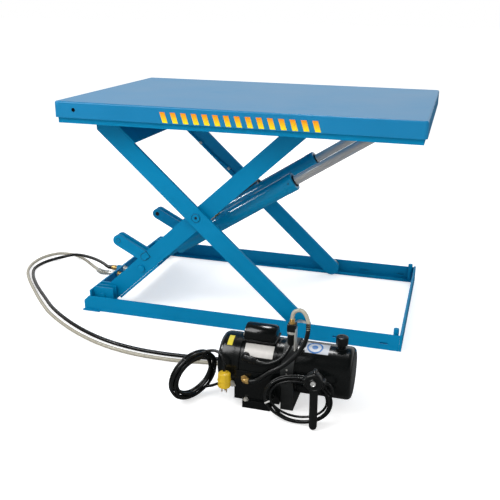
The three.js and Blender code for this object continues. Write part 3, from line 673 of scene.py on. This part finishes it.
def makePins():
    for pin, body, edge in (("hinge_pin_", "base", 1.2), ("centre_pin_", "inner_legs", 0.8)):
        for node in (pin + "front", pin + "rear"):
            settle(worked(node), pieceName("painted", node), body, "framePaint", [node],
                    edge=edge)
    for node in ("base_roller_front", "base_roller_rear", "deck_roller_front", "deck_roller_rear"):
        settle(worked(node), pieceName("turned", node), node, "turnedSteel", [node], edge=1.5,
               segments=3)
    settle(worked("cylinder_shaft"), "cylinderShaft", "inner_legs", "framePaint",
           ["cylinder_shaft"], edge=1.2)
    plug = turned((centre[0], 108, centre[1]), (centre[0], 99, centre[1]), [(4.6, 0), (4.6, 8.4), (3.4, 9.0),
        (2.4, 9.0), (2.2, 7)], 20)
    settle(plug, "greasePlugFront", "inner_legs", "darkBore")
    settle(mirrored(plug), "greasePlugRear", "inner_legs", "darkBore")
    seam(centre, 15.4, 99.7, "pivotSeam", "inner_legs")
    cap = turned((centre[0], 101, centre[1]), (centre[0], 95, centre[1]),
        [(14, 0), (14, 2.2), (13, 2.9), (5.2, 2.9), (4.8, 1.6)], 48)
    settle(cap, "pivotCapFront", "inner_legs", "framePaint")
    for side, y in (("Front", 99.7), ("Rear", depth - 99.7)):
        weldRing((centre[0], y, centre[1]), (0, 10, 0), weld["ring"], weld["bead"], "pivotWeld" + side,
                "outer_legs")
        weldRing((centre[0], 124.7 if side == "Front" else depth - 124.7, centre[1]), (0, 10, 0), 26, 2.4,
                 "bossWeld" + side, "inner_legs")


def makeKeeper():
    # the cylinder shaft's end with the lock plate that keeps it from turning
    x, z = armRoot
    seam((x, z), 14.6, 125, "shaftSeam", "inner_legs")
    end = turned((x, 126, z), (x, 120, z), [(12.8, 0), (12.8, 3.2), (11.8, 4.1), (10.8, 4.1), (10.4, 3.4)],
            40)
    settle(end, "shaftEndFront", "inner_legs", "framePaint", edge=0.3)
    back = leaned(boxPiece((x + 5.6, x + 21.4), (124.4, 126), (z - 13.4, z + 13.4)), armRoot, -36)
    settle(back, "lockPlateSeam", "inner_legs", "darkBore")
    plate = leaned(boxPiece((x + 7, x + 20), (121.6, 125.2), (z - 12, z + 12)), armRoot, -36)
    settle(plate, "lockPlateFront", "inner_legs", "framePaint", edge=1.2, segments=3)
    seam(armTip, 8.4, 125, "tipSeam", "inner_legs")
    tip = turned((armTip[0], 126, armTip[1]), (armTip[0], 120, armTip[1]), [(7.2, 0), (7.2, 2.6), (6.4, 3.4),
        (5.6, 3.4), (5.4, 2.8)], 32)
    settle(tip, "armTipPin", "inner_legs", "framePaint", edge=0.3)
    seam((armTip[0], armTip[1]), 8.4, 491, "tipSeamRear", "inner_legs")


makePins()
makeKeeper()
print("pins made")

# ---- cylinders
cylinder = {"foot": (238, 166.3), "lean": 32.8, "setback": 215}


def onCylinder(distance, lift=0, front=True, aside=0):
    lean = math.radians(cylinder["lean"])
    x = cylinder["foot"][0] + distance * math.cos(lean) - lift * math.sin(lean)
    z = cylinder["foot"][1] + distance * math.sin(lean) + lift * math.cos(lean)
    y = cylinder["setback"] + aside
    return (x, y if front else depth - y, z)


linkHose = {"diameter": 12, "route": [(490, 200, 367), (501, 201, 378), (512, 207, 390), (524, 232, 403),
    (533, 280, 411), (540, 340, 415), (546, 420, 418), (550, 500, 419), (552, 550, 419), (552, 578, 418),
    (552, 592, 413), (552, 598, 405.5)]}


def makeCylinders():
    for side in ("front", "rear"):
        front = side == "front"
        for node, finish, slot, body, edge in (("barrel_", "tubePaint", "blue_paint", "barrels", 1.0),
                                               ("gland_", "tubePaint", "blue_paint", "barrels", 0.8),
                                               ("rod_", "rodChrome", "chrome", "rods", 0.8)):
            settle(worked(node + side), node.strip("_") + side.title() + "Worked", body, finish,
                   [node + side], edge=edge)
        weldRing(onCylinder(131, 0, front), Vector(onCylinder(200)) - Vector(onCylinder(131)), 22, 2.6,
                 "footWeld" + side.title(), "barrels")
        tube = turned(onCylinder(134, 0, front), onCylinder(611, 0, front),
            [(30.4, 0), (31.2, 0.8), (31.2, 476.2), (30.4, 477)], 72)
        settle(tube, "barrelTube" + side.title(), "barrels", "tubePaint")
        tube = turned(onCylinder(600, 0, front), onCylinder(1034, 0, front), [(15.4, 0), (16.15, 0.8),
            (16.15, 433.2), (15.4, 434)], 48)
        settle(tube, "rodSurface" + side.title(), "rods", "rodChrome")
        wiper = turned(onCylinder(645, 0, front), onCylinder(655, 0, front),
            [(21.5, 0), (21.5, 3.4), (19.6, 5), (17.4, 6.2), (16.6, 6.4)], 40)
        settle(wiper, "rodWiper" + side.title(), "barrels", "hoseRubber")
        # the spanner holes are not cut: near-black discs on the gland stand in for them, painted shade for
        # the holes' depth
        for i in range(3):
            lift = math.radians(40 + 120 * i)
            holeShade = turned(onCylinder(630, 31.9 * math.cos(lift), front, 31.9 * math.sin(lift)),
                          onCylinder(630, 40 * math.cos(lift), front, 40 * math.sin(lift)),
                          [(3.4, 0), (3.4, 0.8), (2.6, 1.0), (2.4, 0.3)], 16)
            settle(holeShade, "spannerHoleShade" + side.title() + str(i), "barrels", "darkBore")
    path = smoothPath(linkHose["route"], 8)[0]
    cordPiece("linkHose", path, linkHose["diameter"], "barrels", "hoseRubber", ["link_hose"])
    ferrule = along(path, 0, 2, [(6.0, -10), (9.4, -10), (9.4, 8), (7.8, 9), (7.8, 12)])
    settle(ferrule, "linkFerruleFront", "barrels", "zincPlate", edge=0.4)
    ferrule = turned((552, 598, 403.6), (552, 597, 430), [(6.6, 0), (9, 0.4), (9, 7), (7.2, 8), (7.2, 11)], 6)
    settle(ferrule, "linkFerruleRear", "barrels", "zincPlate", edge=0.4)
    sleeve = along(path, 1, 3, [(7.0, 0), (8.4, 1), (8.4, 16), (6.8, 17)])
    settle(sleeve, "linkSleeveFront", "barrels", "yellowBrass")


makeCylinders()
print("cylinders made")

# ---- return pipe clipped under the rear outer leg
returnPipe = {"diameter": 9, "route": [(200, 596, 690), (221, 573, 691), (262, 537, 693), (330, 476, 695),
    (387, 433, 697), (430, 396, 697), (470, 361, 696)]}


def makeReturnPipe():
    route = [(x, y, z) for x, z, y in returnPipe["route"]]
    path = smoothPath(route, 10)[0]
    cordPiece("returnPipe", path, returnPipe["diameter"], "outer_legs", "framePaint")
    for i, distance in enumerate((0.25, 0.7)):
        start = int(distance * len(path))
        clip = along(path, start, start + 2, [(5.0, 0), (6.3, 0.4), (6.3, 13), (5.0, 13.4)])
        settle(clip, "pipeClip" + str(i), "outer_legs", "zincPlate", edge=0.4)


makeReturnPipe()


def makeSlotBacks():
    # the strips behind the slots in the rear rail's web
    for low, high in ((955, 1007), (1114, 1157)):
        strip = boxPiece((low, high), (depth - 63.6, depth - 61.0), (17, 29))
        settle(strip, "slotBack" + str(low), "base", "framePaint", edge=0.6)


makeSlotBacks()

# ---- hose fittings on the hinge beam
springGuard = {"radius": 9.4, "wire": 3.0, "turns": 9, "length": 64}


def makeInletFittings():
    y, z = 342, 66
    nut = turned((32, y, z), (50, y, z), [(13.5, 0), (13.5, 17.4)], 6)
    settle(nut, "pressureNut", "base", "framePaint", edge=1.6, segments=3)
    body = turned((inlet + 20, y, z), (inlet - 22, y, z), [(8, 0), (9.6, 0), (9.6, 8), (8.8, 9.4), (8.8, 12),
        (10.2, 13), (10.2, 27), (9.0, 28)])
    settle(body, "pressureFerrule", "base", "yellowBrass")
    sleeve = turned((inlet - 6, y, z), (inlet - 40, y + 0.6, z - 0.4),
            [(8.2, 0), (8.6, 1), (8.2, 12), (7, 22)])
    settle(sleeve, "pressureSleeve", "base", "hoseRubber")
    inner = turned((56.5, y, z), (90, y, z), [(11, 0), (12.5, 0.6), (12.5, 11), (8.6, 12), (8.6, 26),
        (7, 27.5), (4.2, 27.5), (4.0, 22)], 32)
    settle(inner, "pressureUnion", "base", "zincPlate", ["bulkhead_fittings"], edge=0.4)
    y, z = 288, 63
    nut = turned((34, y, z), (50, y, z), [(12.4, 0), (12.4, 15.4)], 6)
    settle(nut, "drainNut", "base", "zincPlate", edge=1.4, segments=3)
    inner = turned((56.5, y, z), (90, y, z), [(11, 0), (11.6, 0.6), (11.6, 11), (7.6, 12), (7.6, 26),
        (6.4, 27.5), (4.0, 27.5), (3.8, 22)], 32)
    settle(inner, "drainUnion", "base", "yellowBrass", edge=0.4)
    tail = turned((36, y, z), (inlet - 4, y, z), [(7.4, 0), (8.8, 0), (8.8, 14), (7.4, 16), (7.4, 21)])
    settle(tail, "drainFerrule", "base", "zincPlate")
    bracket = boxPiece((56.4, 60.6), (274, 358), (47, 80))
    settle(bracket, "unionBracket", "base", "framePaint", edge=1.2)
    path = smoothPath(drainHose["route"][:6], 3)[0]
    count = springGuard["turns"] * 16
    reach = springGuard["length"] / 1000
    travelled, marks = 0.0, [0.0]
    for a, b in zip(path, path[1:]):
        travelled += (b - a).length
        marks.append(travelled)
    coil = []
    for i in range(count + 1):
        distance = reach * i / count
        k = max(j for j, mark in enumerate(marks) if mark <= distance + 1e-9)
        k = min(k, len(path) - 2)
        ahead = (path[k + 1] - path[k]).normalized()
        centrePoint = path[k] + ahead * (distance - marks[k])
        side = ahead.cross(Vector((0, 0, 1))).normalized()
        top = side.cross(ahead)
        angle = 2 * math.pi * springGuard["turns"] * i / count
        radius = springGuard["radius"] / 1000 * (1 - 0.12 * i / count)
        coil.append(centrePoint + side * math.cos(angle) * radius + top * math.sin(angle) * radius)
    cordPiece("drainSpringGuard", coil, springGuard["wire"], "base", "zincPlate")


makeInletFittings()
print("hose fittings made")

# ---- power unit
unit = {"y": -336, "z": 112}


def unitPiece(start, end, steps, sides=72):
    return turned((start, unit["y"], unit["z"]), (end, unit["y"], unit["z"]), steps, sides)


def aroundUnit(angle, radius, x):
    # a point on the power unit: angle from straight up, turning towards the front
    turn = math.radians(angle)
    return (x, unit["y"] - radius * math.sin(turn), unit["z"] + radius * math.cos(turn))


def skinned(sheet, thick):
    # gives a sheet its thickness, half on each side
    skin = sheet.modifiers.new("skin", "SOLIDIFY")
    skin.thickness = thick / 1000
    skin.offset = 0
    bpy.ops.object.modifier_apply(modifier="skin")
    return sheet


def wrapped(x, angles, radius, thick):
    # a thin label or plate laid round the power unit's barrel
    clearSelection()
    bpy.ops.mesh.primitive_grid_add(x_subdivisions=2, y_subdivisions=24, size=1)
    label = bpy.context.object
    for vertex in label.data.vertices:
        angle = angles[0] + (angles[1] - angles[0]) * (vertex.co.y + 0.5)
        vertex.co = at(*aroundUnit(angle, radius, x[0] + (x[1] - x[0]) * (vertex.co.x + 0.5)))
    fixNormals(label)
    return skinned(label, thick)


def ringLabel(x, angle, outer, inner, radius, thick):
    # a printed ring, drawn flat in millimetres and then laid on the barrel around a point
    clearSelection()
    bpy.ops.mesh.primitive_circle_add(vertices=48, radius=outer, fill_type="NOTHING")
    ring = bpy.context.object
    bpy.ops.object.mode_set(mode="EDIT")
    bpy.ops.mesh.select_all(action="SELECT")
    bpy.ops.mesh.extrude_edges_move()
    bpy.ops.transform.resize(value=(inner / outer, inner / outer, 1), center_override=(0, 0, 0))
    bpy.ops.object.mode_set(mode="OBJECT")
    for vertex in ring.data.vertices:
        turn = angle + math.degrees(vertex.co.y / radius)
        vertex.co = at(*aroundUnit(turn, radius, x + vertex.co.x))
    fixNormals(ring)
    return skinned(ring, thick)


def screwHead(place, axis, radius, height, sides=24):
    end = tuple(a + b for a, b in zip(place, axis))
    return turned(place, end, [(radius, 0), (radius, height * 0.7), (radius * 0.8, height),
        (radius * 0.45, height), (radius * 0.42, height * 0.4)], sides)


def unitScrew(angle, level, x, radius, height, sides):
    # a screw head standing straight out of the power unit
    place, end = aroundUnit(angle, level, x), aroundUnit(angle, 90, x)
    return screwHead(place, tuple(a - b for a, b in zip(end, place)), radius, height, sides)


def makeMotor():
    shell = unitPiece(770.6, 893, [(73.4, 0), (73.4, 0.4), (75, 1.6), (75, 105), (73.6, 106.4), (73.6, 108.6),
        (75, 110), (75, 121.2), (73.8, 122)], 96)
    settle(shell, "motorShell", "base", "blackEnamel", ["motor_shell"])
    bell = unitPiece(770, 702, [(73.6, 0), (75, 1.4), (75, 14), (74.2, 15), (74.2, 17.5), (75, 18.5),
        (75, 46), (74.4, 52), (72.6, 57.5), (69.4, 62), (64, 65.2), (56, 67), (30, 67.6), (27, 67.6),
        (25.6, 66.4), (12, 66.4)], 96)
    settle(bell, "motorEndBell", "base", "blackEnamel", ["motor_end_bell"])
    plate = wrapped((782, 866), (27, 57), 75.3, 0.8)
    settle(plate, "ratingPlate", "base", "plateSilver")
    rivets = [unitScrew(angle, 75.6, x, 1.6, 0.9, 12) for angle in (29, 55) for x in (785, 863)]
    settle(joined(rivets), "plateRivets", "base", "zincPlate")
    sticker = wrapped((728, 743), (10, 38), 75.25, 0.4)
    settle(sticker, "blankSticker", "base", "stickerYellow")
    boss = turned((789, -396, 150), (789, -412, 153.2), [(13, 0), (13, 9), (11.4, 12), (9, 13), (4, 13)], 32)
    settle(boss, "leadBoss", "base", "blackPlastic")
    grip = turned((786, -407.5, 152.6), (822, -411, 146.4),
        [(7.6, 0), (8.6, 1.4), (8.6, 16), (10.4, 18), (10.4, 25), (8.2, 27), (6.8, 34), (6.2, 38)], 28)
    settle(grip, "leadGrip", "base", "blackPlastic", edge=0.3)


capacitor = {"x": (772, 866), "y": (-372, -300), "foot": 166, "lid": 190, "top": 228}


def makeCapacitorBox():
    x, y = capacitor["x"], capacitor["y"]
    base = boxPiece((x[0] + 3, x[1] - 3), (y[0] + 3, y[1] - 3), (capacitor["foot"], capacitor["lid"]))
    settle(base, "capacitorBase", "base", "blackEnamel", ["capacitor_box"], edge=5,
            segments=4)
    middle, half = (y[0] + y[1]) / 2, (y[1] - y[0]) / 2 - 2
    low = capacitor["top"] - half
    arch = turned((x[0], middle, low), (x[1], middle, low), [(half - 9, 0), (half - 3, 2), (half, 8),
        (half, x[1] - x[0] - 8), (half - 3, x[1] - x[0] - 2), (half - 9, x[1] - x[0])], 64)
    settle(arch, "capacitorCover", "base", "blackEnamel")
    rim = boxPiece((x[0] - 2, x[1] + 2), (y[0] - 2, y[1] + 2), (capacitor["lid"] - 4, capacitor["lid"] + 1))
    settle(rim, "capacitorRim", "base", "blackEnamel", edge=2.2, segments=3)
    screw = screwHead((x[0] + 0.6, -350, 196), (-10, 0, 0), 5, 4, 24)
    settle(screw, "capacitorScrew", "base", "zincPlate")


tank = {"x": (930, 1088), "label": (952, 1018), "angles": (-3, 30)}


def makeTank():
    left, right = tank["x"]
    shell = unitPiece(left, right, [(72, 0), (75, 0.2), (75, 4), (74, 5), (74, 8), (75, 9), (75, 144),
        (74.2, 149.5), (72, 153.6), (68.6, 156.6), (64, 158), (40, 158.4), (12, 158.4)], 96)
    settle(shell, "oilTank", "base", "blackEnamel", ["tank"])
    label = wrapped(tank["label"], tank["angles"], 75.25, 0.4)
    settle(label, "blankLabel", "base", "labelWhite")
    ring = ringLabel(978, 13, 23, 18, 75.5, 0.4)
    settle(ring, "labelRing", "base", "labelBlue")
    ring = ringLabel(978, 13, 8.5, 0.5, 75.5, 0.4)
    settle(ring, "labelDot", "base", "labelBlue")
    neck = turned((1050, -336, 184), (1050, -336, 200), [(16, 0), (15, 3), (12, 5), (12, 13)], 40)
    settle(neck, "fillerNeck", "base", "blackEnamel")


filler = {"x": 1050, "flutes": 16, "fluteDepth": 0.045, "grip": (0.2, 0.2192)}


def makeFillerCap():
    x, y = filler["x"], unit["y"]
    cap = turned((x, y, 197.3), (x, y, 230), [(13, 0), (16, 0.6), (17, 1.6), (17.4, 3), (17.6, 5),
        (17.6, 21), (16.4, 23.6), (14, 25), (9, 25.4), (8, 24.4), (3, 24.4)], 48)
    fluted(cap, x, y, filler["flutes"], filler["fluteDepth"], 0.0164, *filler["grip"])
    settle(cap, "fillerCap", "cap", "blackPlastic", ["filler_cap"])


def makePump():
    settle(worked("pump_flange"), "pumpFlange", "base", "castFlange", ["pump_flange"], edge=1.6,
           segments=3)
    dots = [unitScrew(angle, 79, 911, 2.6, 2.2, 20) for angle in (74, 83)]
    settle(joined(dots), "flangePlugs", "base", "zincPlate")
    ports = [turned((911, -244, z), (911, -236, z), [(11, 0), (11, 5.6)], 6) for z in (60, 118)]
    settle(joined(ports), "portNuts", "base", "zincPlate", edge=1)
    for name, z, finish in (("pressurePortFerrule", 60, "yellowBrass"),
            ("drainPortFerrule", 118, "zincPlate")):
        ferrule = turned((911, -240, z), (911, -214, z), [(7, 0), (8.6, 0.4), (8.6, 20), (7.0, 22)], 32)
        settle(ferrule, name, "base", finish, edge=0.4)
    settle(worked("base_block"), "baseBlock", "base", "blackEnamel", ["base_block"], edge=2.4,
           segments=4)
    bolt = turned((796, -420, 24), (796, -420, 34), [(9, 0), (9, 1.6), (6.2, 1.8), (6.2, 6.4), (5, 7.4)], 6)
    settle(bolt, "footBolt", "base", "zincPlate", edge=0.4)
    gland = turned((764, -406, 62), (740, -406, 62), [(8.4, 0), (8.4, 5), (7.6, 5.4), (7.6, 9), (8.8, 9.6),
        (8.8, 18), (6.6, 21), (5.2, 23)], 24)
    settle(gland, "mainsGland", "base", "zincPlate", edge=0.4)
    relief = turned((744, -406, 62), (722, -405.2, 59.4), [(6.6, 0), (6.4, 6), (5.4, 16), (4.7, 22)], 24)
    settle(relief, "mainsRelief", "base", "blackPlastic")
    gland = turned((870, -411, 46), (870, -430, 46.6), [(7.6, 0), (7.6, 6), (6.4, 7.4), (5.4, 14), (4.2, 20)],
            24)
    settle(gland, "pendantRelief", "base", "blackPlastic")


def makeElbow():
    nut = turned((790, -413.5, 90), (790, -424, 90), [(10.4, 0), (10.4, 5.8)], 6)
    settle(nut, "elbowNut", "base", "yellowBrass", ["elbow"], edge=1, segments=3)
    path = smoothPath([(790, -416, 90), (790, -422, 90), (791.4, -426, 90), (796, -427, 90),
                               (805, -427, 90)], 1.6)[0]
    cordPiece("elbowBody", path, 13, "base", "yellowBrass")
    collar = turned((796, -427, 90), (812, -427, 90.1), [(7.4, 0), (8.6, 0.6), (8.6, 9), (7.4, 10)], 6)
    settle(collar, "elbowCollar", "base", "yellowBrass", edge=0.5)


valve = {"x": 916, "y": -382}
jumper = {"tube": [(916, -382, 276), (916, -382, 285), (919, -382.5, 296), (929, -384, 305), (944, -389, 308),
                   (957, -396, 298), (965, -403, 278), (966, -410, 260)],
          "sleeve": [(965, -403, 278), (966, -411, 256), (962, -418, 234), (953, -424, 212), (938, -428, 190),
                     (918, -430, 168), (896, -431, 149), (872, -431, 133), (848, -430, 113), (827, -428, 95),
                     (813, -427, 90.2), (804.3, -427, 90)]}
motorLead = [(818.4, -411, 147), (832, -412, 145), (854, -413, 145), (876, -411, 153), (894, -405, 165),
             (907, -396, 182), (914, -386, 197), (916, -382, 207), (916, -382, 213.7)]


def makeValve():
    x, y = valve["x"], valve["y"]
    ribs = [(8, 0), (9.5, 1)]
    for i in range(6):
        ribs += [(12.4, 2 + i * 4.6), (12.4, 4.2 + i * 4.6), (10.8, 4.8 + i * 4.6), (10.8, 6.2 + i * 4.6)]
    boot = turned((x, y, 200), (x, y, 240), ribs + [(12.6, 31), (12.6, 36)], 32)
    settle(boot, "valveBoot", "base", "blackPlastic", ["valve_coil"])
    ring = turned((x, y, 234), (x, y, 244), [(12.4, 0), (13.6, 0.8), (13.6, 6.8), (12.4, 7.6)], 40)
    settle(ring, "valveRing", "base", "zincPlate", edge=0.4)
    head = boxPiece((x - 12.5, x + 12.5), (y - 12.5, y + 12.5), (241, 264))
    settle(head, "valveHead", "base", "blackPlastic", edge=2.8, segments=4)
    nipple = turned((x, y, 262), (x, y, 280), [(8.6, 0), (8.6, 5), (6, 5.6), (6, 8), (7.2, 9), (7.2, 11),
        (6, 11.6), (7.2, 13), (7.2, 15), (6.2, 16)], 24)
    settle(nipple, "valveNipple", "base", "yellowBrass", edge=0.3)
    strip = boxPiece((925, 929), (-394, -370), (186, 252))
    settle(strip, "valveStrip", "base", "zincPlate", edge=0.8)
    path = smoothPath(motorLead, 6)[0]
    cordPiece("motorLead", path, 11, "base", "hoseRubber", ["motor_lead"])
    path = smoothPath(jumper["tube"], 6)[0]
    cordPiece("jumperTube", path, 11, "base", "braidedTube")
    path = smoothPath(jumper["sleeve"], 2.4)[0]
    cordPiece("jumperSleeve", path, 13.6, "base", "blackPlastic", ["return_jumper"], ribs=0.2)


makeMotor()
makeCapacitorBox()
makeTank()
makeFillerCap()
makePump()
makeElbow()
makeValve()
for node, finish, slot, body in (("gear_pump", "castFlange", "cast_metal", "base"),
                                 ("motor_rotor", "turnedSteel", "bright_steel", "rotor")):
    settle(worked(node), pieceName("worked", node), body, finish, [node], edge=0.8)
print("power unit made")

# ---- pendant
pendant = {"x": 1001, "z": 149, "y": (-493, -463)}


def makePendant():
    x, z = pendant["x"], pendant["z"]
    front, back = pendant["y"]
    shell = turned((x, back, z), (x, front, z), [(21, 0), (24, 1.6), (25.6, 4), (25.6, 24), (24.2, 27.6),
        (22.4, 29), (20.6, 29.6), (19.8, 28), (18.8, 27.4), (12.6, 27.4)], 56)
    settle(shell, "pendantHead", "base", "blackPlastic", ["pendant"])
    lugs = []
    for angle in (0, 90, 118, 242, 270):
        turn = math.radians(angle)
        px, pz = x + 24.5 * math.sin(turn), z + 24.5 * math.cos(turn)
        lugs.append(turned((px, back + 1, pz), (px, front + 5, pz),
            [(5.6, 0), (6.6, 1.2), (6.6, 22), (5.4, 24), (3, 24)], 20))
    settle(joined(lugs), "pendantLugs", "base", "blackPlastic")
    middle = (front + back) / 2
    stem = turned((1003, middle, 1), (1001, middle, 132), [(1.6, 0), (4, 1.4), (8.6, 5), (10.8, 10),
        (11.2, 16), (11.2, 108), (12.4, 112), (12.4, 124)], 32)
    settle(stem, "pendantStem", "base", "blackPlastic")
    bezel = turned((x, front + 4, z), (x, front - 3, z), [(12, 0), (12, 2.6), (10.6, 4.2), (8.6, 4.2),
            (8.2, 1.8)], 40)
    settle(bezel, "buttonBezel", "base", "blackPlastic")
    relief = turned((x + 24, middle, z), (x + 42, middle + 1.4, z - 3),
            [(6.8, 0), (6.8, 3), (5.2, 5), (4.2, 16)], 20)
    settle(relief, "pendantLeadRelief", "base", "blackPlastic")
    button = turned((x, front + 6, z), (x, front - 6, z), [(7.2, 0), (7.2, 8.6), (6.4, 9.8), (4.8, 9.9),
        (3.9, 8.8), (1, 8.2)], 36)
    settle(button, "pendantButton", "button", "rodChrome", ["pendant_button"])


def makeCoilTies():
    for name, lead, angle, bundle, finish in (("pendantTie", pendantLead, 200, 9.6, "tieWhite"),
                                              ("mainsTie", mainsLead, 120, 13.6, "blackPlastic")):
        here = coilPoint(lead, angle, 0, 0)
        there = coilPoint(lead, angle + 4, 0, 0)
        there = tuple(a + (b - a) * 10 / math.dist(here, there) for a, b in zip(here, there))
        band = turned(here, there, [(bundle - 1, -1.8), (bundle, -1.6), (bundle, 1.6), (bundle - 1, 1.8)], 28)
        settle(band, name, "base", finish)


makePendant()
makeCoilTies()
print("pendant made")

# ---- stage and light
lights = {
    "key": {"place": (-900, -1900, 2900), "size": 1800, "power": 62, "mirrored": True},
    "fill": {"place": (2600, -2400, 1500), "size": 1600, "power": 12, "mirrored": False},
    "back": {"place": (600, 2800, 2300), "size": 2200, "power": 34, "mirrored": False},
    "sideGleam": {"place": (-1450, -790, 1580), "size": 300, "power": 16, "mirrored": True, "gleam": True},
    "topGleam": {"place": (640, 600, 2500), "size": 460, "power": 22, "mirrored": True, "gleam": True},
}
stage = {"floor": 60, "drop": -0.0005, "aim": (600, 200, 350)}
sheen = {"low": 0.45, "high": 0.7, "horizon": 0.85, "zenith": 0.12, "soft": 0.6, "front": 0.15}
paperTone = {"bounce": 0.85, "mirror": 0.12, "glow": 0.56}


def makePaper():
    # pale studio paper that stays white to the camera and dim in the polished faces above it
    paper = bpy.data.materials.new("studioPaper")
    paper.use_nodes = True
    tree = paper.node_tree
    tree.nodes.remove(tree.nodes["Principled BSDF"])
    ray = addNode(tree, "ShaderNodeLightPath")
    tone = addNode(tree, "ShaderNodeMix", [("Factor", ray.outputs["Is Glossy Ray"]), (2, paperTone["bounce"]),
        (3, paperTone["mirror"])], data_type="FLOAT")
    glow = addNode(tree, "ShaderNodeMath", [(0, ray.outputs["Is Camera Ray"]), (1, paperTone["glow"])],
        operation="MULTIPLY")
    flat = addNode(tree, "ShaderNodeBsdfDiffuse", [("Color", tone.outputs[0])])
    lit = addNode(tree, "ShaderNodeEmission", [("Strength", glow.outputs[0])])
    both = addNode(tree, "ShaderNodeAddShader", [(0, flat.outputs[0]), (1, lit.outputs[0])])
    tree.links.new(both.outputs[0], tree.nodes["Material Output"].inputs["Surface"])
    return paper


def makeStage():
    clearSelection()
    bpy.ops.mesh.primitive_plane_add(size=stage["floor"], location=(0, 0, stage["drop"]))
    floor = bpy.context.object
    floor.name = "studioFloor"
    floor.data.materials.append(makePaper())
    aim = at(*stage["aim"])
    for name, light in lights.items():
        bpy.ops.object.light_add(type="AREA", location=at(*light["place"]))
        lamp = bpy.context.object
        lamp.name = name + "Light"
        lamp.data.size = light["size"] / 1000
        lamp.data.energy = light["power"]
        lamp.visible_glossy = light["mirrored"]
        lamp.visible_diffuse = "gleam" not in light
        lamp.rotation_euler = (aim - lamp.location).to_track_quat("-Z", "Y").to_euler()
    world = bpy.data.worlds.new("studio")
    bpy.context.scene.world = world
    world.use_nodes = True
    tree = world.node_tree
    ray = addNode(tree, "ShaderNodeLightPath")
    height = addNode(tree, "ShaderNodeSeparateXYZ", [(0, addNode(tree,
            "ShaderNodeTexCoord").outputs["Generated"])])
    sky = addNode(tree, "ShaderNodeMapRange", [("Value", height.outputs["Z"]), ("From Min", sheen["low"]),
        ("From Max", sheen["high"]), ("To Min", sheen["horizon"]), ("To Max", sheen["zenith"])])
    behind = addNode(tree, "ShaderNodeMapRange", [("Value", height.outputs["Y"]), ("From Min", -0.05),
        ("From Max", 0.3), ("To Min", sheen["front"]), ("To Max", 1.0)])
    mirrored = addNode(tree, "ShaderNodeMath", [(0, sky.outputs[0]), (1, behind.outputs[0])],
            operation="MULTIPLY")
    seen = addNode(tree, "ShaderNodeMix", [("Factor", ray.outputs["Is Glossy Ray"]), (2, sheen["soft"]),
        (3, mirrored.outputs[0])], data_type="FLOAT")
    strength = addNode(tree, "ShaderNodeMix", [("Factor", ray.outputs["Is Camera Ray"]), (2, seen.outputs[0]),
        (3, 1.0)], data_type="FLOAT")
    tree.links.new(strength.outputs[0], tree.nodes["Background"].inputs["Strength"])
    tree.nodes["Background"].inputs["Color"].default_value = (1, 1, 1, 1)
    bpy.context.scene.view_settings.view_transform = "Standard"


makeStage()
print("stage made")
